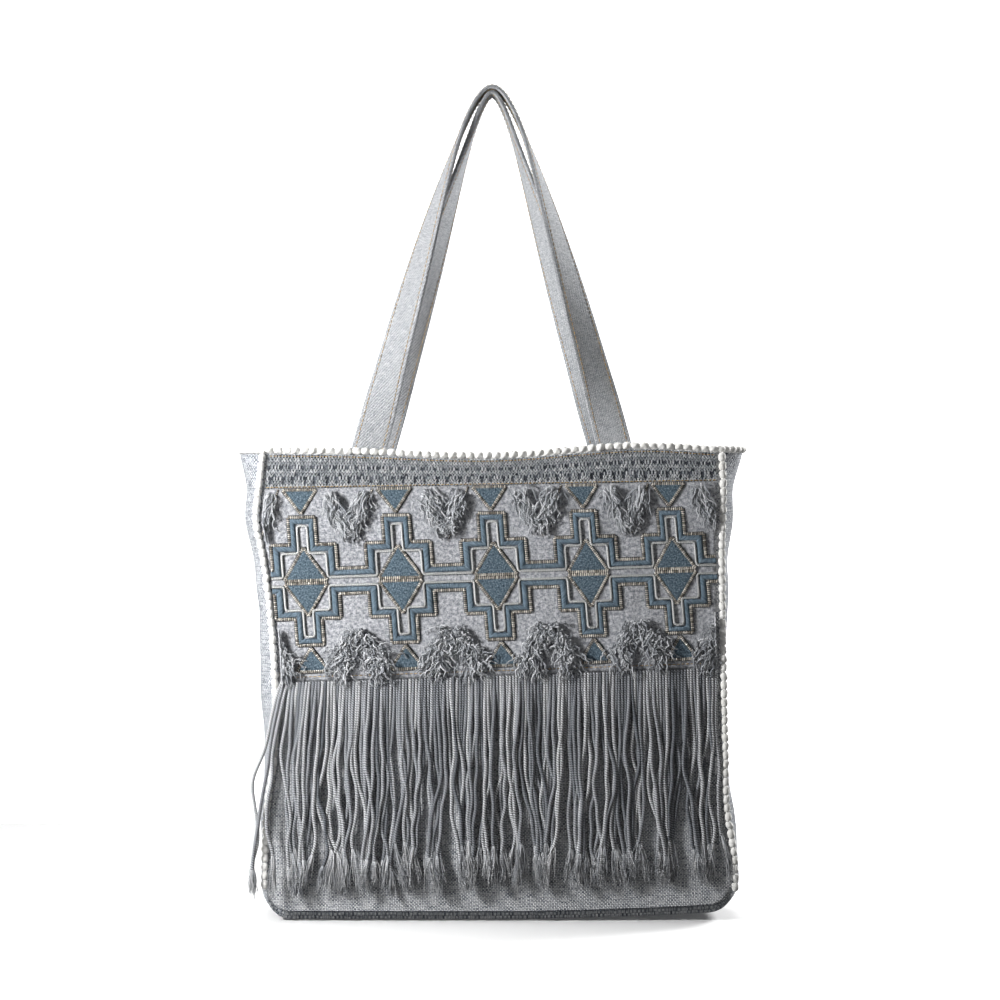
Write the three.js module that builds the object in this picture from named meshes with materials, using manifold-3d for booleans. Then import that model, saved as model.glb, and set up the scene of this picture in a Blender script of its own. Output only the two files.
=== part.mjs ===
// A cloth tote bag with an embroidered felt front, a long cord fringe and two shoulder straps.
// Millimetres, +Z up, +X to the right of someone who faces the front, and the front faces -Y.
// The bag is drawn standing up from z = 0 and then lowered, so that the origin is the underside
// of the strap loop, where a hook carries it.
import * as THREE from 'three';
import { mergeVertices } from 'three/addons/utils/BufferGeometryUtils.js';
import Module from 'manifold-3d';

const wasm = await Module();
wasm.setup();

// Body
const BODY_WIDTH = 364;
const BODY_HEIGHT = 374;
const BASE_DEPTH = 88;
const MOUTH_DEPTH = 72;
const CLOTH = 2.2;
const GAP = 0.3;
const CORNER_RADIUS = 18;
const BASE_SAG = 8;
const BASE_LIFT = 5.5;
const PANEL_CROWN = 7;
const BACK_CROWN = 4;

// Bobble trim, as the tube that the bobbles fill
const TRIM_RADIUS = 2.75;
const TRIM_END_HEIGHT = 24;

// Layers sewn on the front
const LACE = 1.2;
const LACE_DROP = 1;
const LACE_HEIGHT = 25;
const LAYER_INSET = 2.8;
const BACKING_FELT = 1.2;
const MOTIF_FELT = 1;
const DESIGN_CLEARANCE = 1.5;
const DESIGN_RISE = 11.8;
const DESIGN_LEAN = 0.08;
const APPLIQUE_DROP = 79;

// Motifs, measured from the middle of a diamond
const MOTIF_PITCH = 75.6;
const BAND_VALLEY = 10;
const BAND_SHOULDER_TOP = 29.2;
const BAND_SHOULDER_SIDE = 26;
const BAND_TOWER_TOP = 50.4;
const BAND_TOWER_SIDE = 10.7;
const BAND_WIDTH = 6.2;
const BAND_SIDE_WIDTH = 8;
const BAND_LEFT_END = 27.5;
const BAND_RIGHT_END = 34;
const DIAMOND_HALF_WIDTH = 17.2;
const DIAMOND_HALF_HEIGHT = 27;
const DIAMOND_SPLIT = 1.2;
const TRIANGLE_HALF_WIDTH = 13.4;
const TRIANGLE_TIP = 53;
const TRIANGLE_BASE = 71.5;

// Shaggy yarn tufts
const TUFT_TAPE_WIDTH = 8;
const TUFT_TAPE = 1.6;
const TUFT_LOCK_LENGTH = 21;
const TUFT_LOCK_WIDTH = 10;
const TUFT_LOCK_THICKNESS = 4.6;
const TUFT_LOCKS_PER_ARM = 3;
const TUFT_ARM_SPREAD = 15.5;
const TUFT_ARM_LOW = 39;
const TUFT_ARM_HIGH = 69;
const LOWER_TUFT_SPREAD = 19;
const TUFT_MEET = 2.4;
const TUFT_SEAM_ROOM = 6;
const TUFT_SWAY = 0.45;
const TUFT_LEAST = 0.8;
const TUFT_MOST = 1.1;

// Fringe
const FRINGE_LENGTH = 168;
const FRINGE_LOCKS = 34;
const FRINGE_HEAD = 7;
const FRINGE_HEAD_THICKNESS = 3.8;
const FRINGE_LOCK_THICKNESS = 3.4;
const FRINGE_LOCK_FILL = 0.86;
const FRINGE_FLARE_LEFT = 27;
const FRINGE_FLARE_RIGHT = 8;
const FRINGE_WAVE = 1.4;
const FRINGE_RAGGED = 9;
const FRINGE_ROOT_DROP = 2.8;
const FRINGE_TIP_SHARE = 0.55;
const FRINGE_HEAD_SEAT = 0.27;

// Straps
const STRAP_WIDTH = 28;
const STRAP_THICKNESS = 4;
const STRAP_DROP = 292;
const STRAP_ROOT = 100;
const STRAP_NEST_INSET = 5;
const STRAP_NEST_GAP = 0.4;
const STRAP_HOOK_RADIUS = 1.1;
const STRAP_TUCK = 32;

// Mesh fineness
const PANEL_COLUMNS = 11;
const PANEL_ROWS = 10;
const CORNER_ROWS = 4;
const TUBE_SIDES = 8;
const STRAP_STEPS = 44;
const LACE_COLUMNS = 16;
const LACE_ROWS = 2;
const APPLIQUE_COLUMNS = 14;
const APPLIQUE_ROWS = 5;
const HEAD_COLUMNS = 14;
const FACET = 24;

// How the body's sides run, from the base up: each seam and each gusset's puff as shares of half
// the width and of the depth
const SIDE_ROWS = [
  { at: 0, left: 0.987, right: 1.06, puffLeft: 0.075, puffRight: 0.075 },
  { at: 0.12, left: 0.986, right: 1.053, puffLeft: 0.08, puffRight: 0.085 },
  { at: 0.24, left: 0.977, right: 1.018, puffLeft: 0.105, puffRight: 0.11 },
  { at: 0.36, left: 0.943, right: 1.013, puffLeft: 0.14, puffRight: 0.07 },
  { at: 0.52, left: 0.943, right: 1.007, puffLeft: 0.18, puffRight: 0.045 },
  { at: 0.655, left: 0.963, right: 1.002, puffLeft: 0.15, puffRight: 0.095 },
  { at: 0.78, left: 0.997, right: 1, puffLeft: 0.15, puffRight: 0.115 },
  { at: 0.855, left: 1.028, right: 1.004, puffLeft: 0.13, puffRight: 0.125 },
  { at: 0.92, left: 1.018, right: 1.007, puffLeft: 0.165, puffRight: 0.145 },
  { at: 1, left: 1, right: 1, puffLeft: 0.235, puffRight: 0.215 },
];

// How far the depth has gone from that of the base to that of the mouth, and how much of the
// crown the front and back have there
const DEPTH_ROWS = [
  { at: 0, closed: 0, crown: 0.15 },
  { at: 0.2, closed: 0.05, crown: 1 },
  { at: 0.5, closed: 0.25, crown: 0.85 },
  { at: 0.8, closed: 0.65, crown: 0.4 },
  { at: 1, closed: 1, crown: 0 },
];

// Rise of the mouth's edge across the front, as a share of the body's height
const MOUTH_ROWS = [
  { at: -1, rise: 0 },
  { at: -0.65, rise: -0.002 },
  { at: 0, rise: -0.011 },
  { at: 0.65, rise: 0.01 },
  { at: 1, rise: 0.002 },
];

// Lift of the base towards its right end, as a share of BASE_LIFT
const BASE_ROWS = [
  { at: -1, lift: 0 },
  { at: -0.1, lift: 0 },
  { at: 0.2, lift: 0.03 },
  { at: 0.7, lift: 0.5 },
  { at: 1, lift: 1 },
];

// How the sewn design climbs to the right, as a share of DESIGN_RISE
const CLIMB_ROWS = [
  { at: 0, climb: 1 },
  { at: 0.74, climb: 1 },
  { at: 0.93, climb: 0.54 },
  { at: 1, climb: 0.34 },
];

// Middles of the five motifs, as shares of the width
const MOTIF_ROWS = [
  { at: 0, across: -0.409 },
  { at: 1, across: -0.201 },
  { at: 2, across: 0.009 },
  { at: 3, across: 0.212 },
  { at: 4, across: 0.401 },
];

// Section of the gusset from the front seam to the back seam
const GUSSET_ROWS = [
  { across: 0, puff: 0 },
  { across: 0.1, puff: 0.5 },
  { across: 0.3, puff: 1 },
  { across: 0.7, puff: 1 },
  { across: 0.9, puff: 0.5 },
  { across: 1, puff: 0 },
];

// Stations down a lock of the fringe, as shares of its length
const FRINGE_STATIONS = [0, 0.1, 0.35, 0.68, 1];

// How wide and thick a lock of a tuft is along its length
const LOCK_ROWS = [
  { at: 0, wide: 0.7, thick: 0.6 },
  { at: 0.5, wide: 1, thick: 1 },
  { at: 1, wide: 0.45, thick: 0.45 },
];

// Turn of a strap from its loop's top down to the mouth, as a share of a right angle
const TWIST_ROWS = [
  { at: 0, turn: 1 },
  { at: 0.12, turn: 0.97 },
  { at: 0.27, turn: 0.8 },
  { at: 0.44, turn: 0.6 },
  { at: 0.6, turn: 0.44 },
  { at: 0.77, turn: 0.29 },
  { at: 0.93, turn: 0.04 },
  { at: 1, turn: 0 },
];

const COLOURS = {
  weave: [0xb9bcc0, 0.95],
  lace: [0xa9adb2, 0.95],
  felt: [0x9ea3a9, 0.97],
  blueFelt: [0x5d7386, 0.97],
  yarn: [0x8a8e93, 0.95],
  bobble: [0xefeeea, 0.9],
  denim: [0xb4b8bd, 0.92],
};

// Smooth curve through one column of a table, level with the end rows beyond them
function along(table, column, at) {
  const last = table.length - 1;
  const place = Math.min(Math.max(at, table[0].at), table[last].at);
  let i = 0;
  while (i < last - 1 && place > table[i + 1].at) i += 1;
  const slope = (k) => {
    const before = table[Math.max(k - 1, 0)];
    const after = table[Math.min(k + 1, last)];
    return (after[column] - before[column]) / (after.at - before.at);
  };
  const span = table[i + 1].at - table[i].at;
  const t = (place - table[i].at) / span;
  const a = table[i][column];
  const b = table[i + 1][column];
  const rise = b - a;
  const m0 = slope(i) * span;
  const m1 = slope(i + 1) * span;
  return a + m0 * t + (3 * rise - 2 * m0 - m1) * t * t + (m0 + m1 - 2 * rise) * t * t * t;
}

// A fixed scatter between 0 and 1
function scatter(i) {
  const value = Math.sin(i * 12.9898 + 4.1414) * 43758.5453;
  return value - Math.floor(value);
}

const smooth = (from, to, value) => THREE.MathUtils.smoothstep(value, from, to);
const mix = THREE.MathUtils.lerp;

// Form of the body
const halfWidth = BODY_WIDTH / 2;

// Heights of the front's layers, each from the one above it
const laceFoot = BODY_HEIGHT - LACE_HEIGHT;
const diamondHeight = laceFoot - DESIGN_CLEARANCE - TRIANGLE_BASE;
const appliqueFoot = diamondHeight - APPLIQUE_DROP;

function seamX(side, height) {
  return side * halfWidth * along(SIDE_ROWS, side < 0 ? 'left' : 'right', height / BODY_HEIGHT);
}

function halfDepth(height) {
  const closed = along(DEPTH_ROWS, 'closed', height / BODY_HEIGHT);
  return mix(BASE_DEPTH, MOUTH_DEPTH, closed) / 2;
}

function crownAt(x, height) {
  const left = seamX(-1, height);
  const right = seamX(1, height);
  const across = (2 * x - left - right) / (right - left);
  const fullness = along(DEPTH_ROWS, 'crown', height / BODY_HEIGHT);
  return fullness * Math.max(0, 1 - across * across);
}

const mouthHeight = (x) => BODY_HEIGHT * (1 + along(MOUTH_ROWS, 'rise', x / halfWidth));
const baseHeight = (x) => BASE_LIFT * along(BASE_ROWS, 'lift', x / halfWidth);

// A point on the outside of the front or the back, lifted off it by some layers
function onFront(x, z, lift) {
  return new THREE.Vector3(x, -halfDepth(z) - PANEL_CROWN * crownAt(x, z) - lift, z);
}

function onBack(x, z, lift) {
  return new THREE.Vector3(x, halfDepth(z) + BACK_CROWN * crownAt(x, z) + lift, z);
}

// Height of a line of the design, which climbs a little to the right
function designHeight(x, height) {
  const climb = along(CLIMB_ROWS, 'climb', height / BODY_HEIGHT);
  return height + DESIGN_RISE * climb * (x / BODY_WIDTH);
}

// Place on the front of a point of the design: how far it lies to the right of the first motif's
// middle, counted at the motifs' even pitch, and above the row of diamonds
function designPlace(right, above) {
  const motif = right / MOTIF_PITCH;
  const last = MOTIF_ROWS.length - 1;
  const inside = Math.min(Math.max(motif, 0), last);
  const beyond = (motif - inside) * MOTIF_PITCH;
  const x = BODY_WIDTH * along(MOTIF_ROWS, 'across', inside) + beyond - DESIGN_LEAN * above;
  return { x, z: designHeight(x, diamondHeight + above) };
}

// Closed mesh from points and triangles
function closedGeometry(points, triangles) {
  const geometry = new THREE.BufferGeometry();
  const flat = points.flatMap((p) => [p.x, p.y, p.z]);
  geometry.setAttribute('position', new THREE.Float32BufferAttribute(flat, 3));
  geometry.setIndex(triangles);
  return geometry;
}

// Flat triangles of a grid, as places given by a function of column and row
function gridPiece(columns, rows, placeAt) {
  const places = [];
  const triangles = [];
  for (let j = 0; j <= rows; j += 1) {
    for (let i = 0; i <= columns; i += 1) places.push(placeAt(i, j));
  }
  const wide = columns + 1;
  for (let j = 0; j < rows; j += 1) {
    for (let i = 0; i < columns; i += 1) {
      const a = j * wide + i;
      triangles.push(a, a + 1, a + wide + 1, a, a + wide + 1, a + wide);
    }
  }
  return { places, triangles };
}

// Flat triangles that fill an outline of the design, cut until no edge is longer than a facet
function outlinePiece(outline) {
  const points = outline.map(([right, above]) => new THREE.Vector2(right, above));
  if (THREE.ShapeUtils.isClockWise(points)) points.reverse();
  const faces = THREE.ShapeUtils.triangulateShape(points, []);
  const waiting = faces.map((face) => face.map((k) => points[k]));
  const done = [];
  while (waiting.length > 0) {
    const face = waiting.pop();
    const lengths = face.map((point, k) => point.distanceTo(face[(k + 1) % 3]));
    const k = lengths.indexOf(Math.max(...lengths));
    const [a, b, c] = [face[k], face[(k + 1) % 3], face[(k + 2) % 3]];
    if (lengths[k] <= FACET) {
      done.push(face);
    } else {
      const middle = new THREE.Vector2().addVectors(a, b).multiplyScalar(0.5);
      waiting.push([a, middle, c], [middle, b, c]);
    }
  }
  const seen = new Map();
  const places = [];
  const triangles = done.flat().map((point) => {
    const key = `${point.x},${point.y}`;
    if (!seen.has(key)) {
      seen.set(key, places.length);
      places.push(designPlace(point.x, point.y));
    }
    return seen.get(key);
  });
  return { places, triangles };
}

// A cloth layer: flat triangles laid on the front or back, lifted and given their thickness
function layer(piece, surface, lift, thickness) {
  const { places, triangles } = piece;
  const count = places.length;
  const outer = places.map((p) => surface(p.x, p.z, lift + thickness));
  const inner = places.map((p) => surface(p.x, p.z, lift));
  const all = [];
  const open = new Map();
  for (let k = 0; k < triangles.length; k += 3) {
    const face = triangles.slice(k, k + 3);
    all.push(...face);
    all.push(face[0] + count, face[2] + count, face[1] + count);
    face.forEach((a, n) => {
      const b = face[(n + 1) % 3];
      if (open.has(`${b},${a}`)) open.delete(`${b},${a}`);
      else open.set(`${a},${b}`, [a, b]);
    });
  }
  for (const [a, b] of open.values()) {
    all.push(b, a, a + count, b, a + count, b + count);
  }
  if (surface === onBack) {
    for (let k = 0; k < all.length; k += 3) [all[k + 1], all[k + 2]] = [all[k + 2], all[k + 1]];
  }
  return closedGeometry([...outer, ...inner], all);
}

// Skin over a row of rings with equal counts of points, with capped ends or closed on itself
function loft(rings, closed) {
  const sides = rings[0].length;
  const spans = closed ? rings.length : rings.length - 1;
  const triangles = [];
  for (let r = 0; r < spans; r += 1) {
    const here = r * sides;
    const next = ((r + 1) % rings.length) * sides;
    for (let i = 0; i < sides; i += 1) {
      const j = (i + 1) % sides;
      triangles.push(here + i, here + j, next + j, here + i, next + j, next + i);
    }
  }
  const cap = (start, flip) => {
    for (let i = 0, j = sides - 1; i + 1 < j; i += 1, j -= 1) {
      const faces = [[i, j, i + 1], [i + 1, j, j - 1]];
      for (const [a, b, c] of faces) {
        if (c === i + 1 || c !== a) {
          triangles.push(start + a, start + (flip ? c : b), start + (flip ? b : c));
        }
      }
    }
  };
  if (!closed) {
    cap(0, false);
    cap((rings.length - 1) * sides, true);
  }
  return closedGeometry(rings.flat(), triangles);
}

// Ring of a tube round a centre, in the plane of two directions
function ringAround(centre, first, second, radiusFirst, radiusSecond, sides) {
  const ring = [];
  for (let i = 0; i < sides; i += 1) {
    const angle = (2 * Math.PI * (i + 0.5)) / sides;
    const point = centre.clone();
    point.addScaledVector(first, radiusFirst * Math.cos(angle));
    point.addScaledVector(second, radiusSecond * Math.sin(angle));
    ring.push(point);
  }
  return ring;
}

// Joins overlapping closed meshes into one and keeps its outer skin, with no pockets inside
function fuse(geometries) {
  const solids = geometries.map((geometry) => {
    const bare = mergeVertices(geometry, 1e-4);
    const mesh = new wasm.Mesh({
      numProp: 3,
      vertProperties: new Float32Array(bare.attributes.position.array),
      triVerts: new Uint32Array(bare.index.array),
    });
    return new wasm.Manifold(mesh);
  });
  const joined = solids.reduce((sum, solid) => sum.add(solid));
  const skins = joined.decompose().sort((a, b) => b.volume() - a.volume());
  const mesh = skins[0].getMesh();
  const geometry = new THREE.BufferGeometry();
  geometry.setAttribute('position', new THREE.Float32BufferAttribute(mesh.vertProperties, 3));
  geometry.setIndex([...mesh.triVerts]);
  return geometry;
}

const bag = new THREE.Group();

function place(name, geometry, look) {
  const [color, roughness] = COLOURS[look];
  const material = new THREE.MeshStandardMaterial({ color, roughness, metalness: 0 });
  const mesh = new THREE.Mesh(geometry, material);
  mesh.name = name;
  bag.add(mesh);
}

// Shares of the panel's height where its rows lie: close together in the rounded corners
function panelRows() {
  const tall = BODY_HEIGHT - BASE_SAG;
  const shares = [];
  for (let k = 0; k < CORNER_ROWS; k += 1) {
    const angle = (k * Math.PI) / 2 / CORNER_ROWS;
    shares.push((CORNER_RADIUS * (1 - Math.cos(angle))) / tall);
  }
  const start = CORNER_RADIUS / tall;
  for (let k = 0; k <= PANEL_ROWS; k += 1) shares.push(mix(start, 1, k / PANEL_ROWS));
  return shares;
}

const rowShares = panelRows();
const lastRow = rowShares.length - 1;

// Place of a grid point of the front or back panel
function panelPlace(i, j) {
  const share = rowShares[j];
  const above = share * (BODY_HEIGHT - BASE_SAG);
  const height = BASE_SAG + above;
  const short = Math.max(0, CORNER_RADIUS - above);
  const inset = CORNER_RADIUS - Math.sqrt(CORNER_RADIUS ** 2 - short ** 2);
  const x = mix(seamX(-1, height) + inset, seamX(1, height) - inset, i / PANEL_COLUMNS);
  const low = BASE_SAG + baseHeight(x);
  return { x, z: mix(low, mouthHeight(x), share) };
}

function buildPanels() {
  const piece = gridPiece(PANEL_COLUMNS, lastRow, panelPlace);
  place('front_panel', layer(piece, onFront, -CLOTH, CLOTH), 'weave');
  place('back_panel', layer(piece, onBack, -CLOTH, CLOTH), 'weave');
}

// The seam between the front panel and the gusset: down the left side, along the base and up
function seamPath() {
  const path = [];
  for (let j = lastRow; j > 0; j -= 1) path.push({ ...panelPlace(0, j), side: -1 });
  for (let i = 0; i <= PANEL_COLUMNS; i += 1) path.push({ ...panelPlace(i, 0), side: 0 });
  for (let j = 1; j <= lastRow; j += 1) path.push({ ...panelPlace(PANEL_COLUMNS, j), side: 1 });
  return path.map((point, k) => {
    const before = path[Math.max(k - 1, 0)];
    const after = path[Math.min(k + 1, path.length - 1)];
    const run = new THREE.Vector2(after.x - before.x, after.z - before.z).normalize();
    return { ...point, outX: run.y, outZ: -run.x };
  });
}

// How far the gusset puffs out beyond its seams at a point of the seam's path
function puffAt(point) {
  const side = point.x < 0 ? 'puffLeft' : 'puffRight';
  const sidePuff = BASE_DEPTH * along(SIDE_ROWS, side, point.z / BODY_HEIGHT);
  return mix(sidePuff, BASE_SAG, point.outZ * point.outZ);
}

// Points across the gusset's outside at a point of the seam's path
function gussetSection(point, inward) {
  const reach = halfDepth(point.z) - CLOTH - GAP;
  return GUSSET_ROWS.map((row) => {
    const out = puffAt(point) * row.puff - inward;
    const y = mix(-reach, reach, row.across);
    return new THREE.Vector3(point.x + out * point.outX, y, point.z + out * point.outZ);
  });
}

function buildGusset() {
  const rings = seamPath().map((point) => {
    const upright = Math.abs(point.side) === 1 && point.z > BASE_SAG + CORNER_RADIUS;
    const level = upright ? { ...point, outX: point.side, outZ: 0 } : point;
    return [...gussetSection(level, 0), ...gussetSection(level, CLOTH).reverse()];
  });
  place('gusset', loft(rings, false), 'weave');
}

// Points round the mouth, just above the edge of the cloth
function mouthPath() {
  const front = [];
  const back = [];
  for (let i = 0; i <= PANEL_COLUMNS; i += 1) {
    const { x, z } = panelPlace(i, lastRow);
    front.push(onFront(x, z, 0));
    back.push(onBack(x, z, 0));
  }
  const side = (index, sign) => {
    const corner = panelPlace(index, lastRow);
    const section = gussetSection({ ...corner, outX: sign, outZ: 0 }, 0);
    return section.slice(1, -1);
  };
  const right = side(PANEL_COLUMNS, 1);
  const left = side(0, -1);
  return [...front, ...right, ...back.reverse(), ...left.reverse()];
}

function buildMouthTrim() {
  const path = mouthPath();
  const up = new THREE.Vector3(0, 0, 1);
  const rings = path.map((point, k) => {
    const before = path[(k + path.length - 1) % path.length];
    const after = path[(k + 1) % path.length];
    const run = new THREE.Vector3().subVectors(after, before).setZ(0).normalize();
    const out = new THREE.Vector3().crossVectors(run, up);
    const centre = point.clone().addScaledVector(out, TRIM_RADIUS - CLOTH);
    centre.z += GAP + TRIM_RADIUS;
    return ringAround(centre, up, out, TRIM_RADIUS, TRIM_RADIUS, TUBE_SIDES);
  });
  place('mouth_trim', loft(rings, true), 'bobble');
}

// A trim down one front seam, which lies against the outside of the panel's corner
function buildSideTrim(name, column, side) {
  const aside = (TRIM_RADIUS + GAP) / Math.SQRT2;
  const forward = new THREE.Vector3(0, -1, 0);
  const rings = [];
  for (let j = lastRow; j >= 0; j -= 1) {
    const { x, z } = panelPlace(column, j);
    if (z >= TRIM_END_HEIGHT) {
      const centre = onFront(x + side * aside, z, 0);
      centre.y -= aside;
      const out = new THREE.Vector3(side, 0, 0);
      const [first, second] = side < 0 ? [forward, out] : [out, forward];
      rings.push(ringAround(centre, first, second, TRIM_RADIUS, TRIM_RADIUS, TUBE_SIDES));
    }
  }
  place(name, loft(rings, false), 'bobble');
}

// Edges of the layers sewn on the front, just inside its seams
function layerX(share, height) {
  return mix(seamX(-1, height) + LAYER_INSET, seamX(1, height) - LAYER_INSET, share);
}

function buildLace() {
  const piece = gridPiece(LACE_COLUMNS, LACE_ROWS, (i, j) => {
    const share = j / LACE_ROWS;
    const height = mix(laceFoot, BODY_HEIGHT - LACE_DROP, share);
    const x = layerX(i / LACE_COLUMNS, height);
    return { x, z: mix(designHeight(x, laceFoot), mouthHeight(x) - LACE_DROP, share) };
  });
  place('lace_band', layer(piece, onFront, GAP, LACE), 'lace');
}

function buildApplique() {
  const piece = gridPiece(APPLIQUE_COLUMNS, APPLIQUE_ROWS, (i, j) => {
    const height = mix(appliqueFoot, laceFoot - GAP, j / APPLIQUE_ROWS);
    const x = layerX(i / APPLIQUE_COLUMNS, height);
    return { x, z: designHeight(x, height) };
  });
  place('applique_panel', layer(piece, onFront, GAP, BACKING_FELT), 'felt');
}

// Layers of the front, from the cloth outwards
const motifLift = GAP + BACKING_FELT + GAP;
const tuftLift = motifLift + MOTIF_FELT + GAP;

// Steps of the band over one motif, from its left valley to its right valley. A narrower line of
// the same steps, inside the band, comes from taking the band's width off.
function bandSteps(middle, narrow, narrowSide) {
  const shoulder = BAND_SHOULDER_SIDE - narrowSide;
  const tower = BAND_TOWER_SIDE - narrow;
  const valley = BAND_VALLEY - narrow;
  const shoulderTop = BAND_SHOULDER_TOP - narrow;
  const towerTop = BAND_TOWER_TOP - narrow;
  return [
    [middle - shoulder, valley],
    [middle - shoulder, shoulderTop],
    [middle - tower, shoulderTop],
    [middle - tower, towerTop],
    [middle + tower, towerTop],
    [middle + tower, shoulderTop],
    [middle + shoulder, shoulderTop],
    [middle + shoulder, valley],
  ];
}

function buildBand(name, sign) {
  const count = MOTIF_ROWS.length;
  const outer = [];
  const inner = [];
  for (let k = 0; k < count; k += 1) {
    outer.push(...bandSteps(k * MOTIF_PITCH, 0, 0));
    inner.push(...bandSteps(k * MOTIF_PITCH, BAND_WIDTH, BAND_SIDE_WIDTH));
  }
  const left = -BAND_LEFT_END;
  const right = (count - 1) * MOTIF_PITCH + BAND_RIGHT_END;
  const channel = BAND_VALLEY - BAND_WIDTH;
  const outline = [
    [left, BAND_VALLEY],
    ...outer,
    [right, BAND_VALLEY],
    [right, channel],
    ...inner.reverse(),
    [left, channel],
  ];
  const signed = outline.map(([x, z]) => [x, sign * z]);
  place(name, layer(outlinePiece(signed), onFront, motifLift, MOTIF_FELT), 'blueFelt');
}

function buildMotifPiece(name, outline) {
  place(name, layer(outlinePiece(outline), onFront, motifLift, MOTIF_FELT), 'blueFelt');
}

function buildMotifs() {
  buildBand('stepped_band_upper', 1);
  buildBand('stepped_band_lower', -1);
  for (let k = 0; k < MOTIF_ROWS.length; k += 1) {
    const middle = k * MOTIF_PITCH;
    for (const [word, end, sign] of [['upper', 'top', 1], ['lower', 'bottom', -1]]) {
      buildMotifPiece(`diamond_${k + 1}_${word}`, [
        [middle - DIAMOND_HALF_WIDTH, sign * DIAMOND_SPLIT],
        [middle + DIAMOND_HALF_WIDTH, sign * DIAMOND_SPLIT],
        [middle, sign * DIAMOND_HALF_HEIGHT],
      ]);
      buildMotifPiece(`triangle_${end}_${k + 1}`, [
        [middle - TRIANGLE_HALF_WIDTH, sign * TRIANGLE_BASE],
        [middle + TRIANGLE_HALF_WIDTH, sign * TRIANGLE_BASE],
        [middle, sign * TRIANGLE_TIP],
      ]);
    }
  }
}

// One tapering lock of yarn that lies on the front from a root to a tip
function tuftLock(root, tip, width) {
  const run = new THREE.Vector2(tip[0] - root[0], tip[1] - root[1]).normalize();
  const rings = LOCK_ROWS.map(({ at, wide, thick }) => {
    const right = mix(root[0], tip[0], at);
    const above = mix(root[1], tip[1], at);
    const reach = (width * wide) / 2;
    const point = (side, lift) => {
      const spot = designPlace(right - run.y * side * reach, above + run.x * side * reach);
      return onFront(spot.x, spot.z, lift);
    };
    const high = tuftLift + TUFT_LOCK_THICKNESS * thick;
    const middle = mix(tuftLift, high, 0.4);
    return [point(-1, middle), point(0, tuftLift), point(1, middle), point(0, high)];
  });
  return loft(rings, false);
}

// A point of the design, moved in from the front's seams as far as a lock of yarn needs
function insideSeams([right, above]) {
  const { x, z } = designPlace(right, above);
  const room = LAYER_INSET + TUFT_SEAM_ROOM;
  const kept = Math.min(Math.max(x, seamX(-1, z) + room), seamX(1, z) - room);
  return [right + kept - x, above];
}

// One arm of a tuft: a short tape on the felt and the locks that fall from it
function tuftArm(start, end, seed) {
  const from = insideSeams(start);
  const to = insideSeams(end);
  const run = new THREE.Vector2(to[0] - from[0], to[1] - from[1]).normalize();
  const reach = TUFT_TAPE_WIDTH / 2;
  const corner = (point, side) => [point[0] - run.y * side * reach, point[1] + run.x * side * reach];
  const tape = outlinePiece([corner(from, -1), corner(to, -1), corner(to, 1), corner(from, 1)]);
  const parts = [layer(tape, onFront, motifLift, TUFT_TAPE)];
  for (let k = 0; k < TUFT_LOCKS_PER_ARM; k += 1) {
    const share = (k + 0.5) / TUFT_LOCKS_PER_ARM;
    const root = [mix(from[0], to[0], share), mix(from[1], to[1], share)];
    const sway = mix(-TUFT_SWAY, TUFT_SWAY, scatter(seed + k));
    const length = TUFT_LOCK_LENGTH * mix(TUFT_LEAST, TUFT_MOST, scatter(seed + k + 50));
    const lowest = DIAMOND_SPLIT - APPLIQUE_DROP;
    const tip = [root[0] + length * Math.sin(sway), root[1] - length * Math.cos(sway)];
    tip[1] = Math.max(tip[1], Math.min(lowest, root[1] - reach));
    const width = TUFT_LOCK_WIDTH * mix(TUFT_LEAST, TUFT_MOST, scatter(seed + k + 90));
    parts.push(tuftLock(root, insideSeams(tip), width));
  }
  return parts;
}

function buildTufts() {
  const count = MOTIF_ROWS.length + 1;
  for (let k = 0; k < count; k += 1) {
    const middle = (k - 0.5) * MOTIF_PITCH;
    const arms = [-1, 1].filter((side) => !(k === 0 && side < 0) && !(k === count - 1 && side > 0));
    const upper = [];
    const lower = [];
    arms.forEach((side, n) => {
      const seed = 10 * k + 5 * n;
      const meet = side * TUFT_MEET;
      const low = [middle + meet, TUFT_ARM_LOW];
      const high = [middle + side * TUFT_ARM_SPREAD, TUFT_ARM_HIGH];
      upper.push(...tuftArm(low, high, seed));
      const apex = [middle + meet, -TUFT_ARM_LOW];
      const foot = [middle + side * LOWER_TUFT_SPREAD, -TUFT_ARM_HIGH];
      lower.push(...tuftArm(apex, foot, seed + 200));
    });
    place(`tuft_top_${k + 1}`, fuse(upper), 'yarn');
    place(`tuft_bottom_${k + 1}`, fuse(lower), 'yarn');
  }
}

// How far the fringe has drifted sideways at a share of its width and length
function fringeDrift(across, down) {
  const left = FRINGE_FLARE_LEFT * (1 - across) ** 8 * down ** 0.7;
  const right = FRINGE_FLARE_RIGHT * across ** 8 * down ** 2;
  const wave = FRINGE_WAVE * Math.sin(2 * Math.PI * (1.3 * down + 2.2 * across)) * down;
  return right - left + wave;
}

// Below the fullest part of the front, the fringe hangs plumb
const bellyHeight = BODY_HEIGHT * DEPTH_ROWS[1].at;

// The fringe's outer locks swing out in front of the left trim
function fringeLift(across, down) {
  const overTrim = TRIM_RADIUS + (TRIM_RADIUS + GAP) / Math.SQRT2;
  return 2 * GAP + (overTrim + GAP) * (1 - smooth(0.06, 0.14, across)) * smooth(0, 0.1, down);
}

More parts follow.
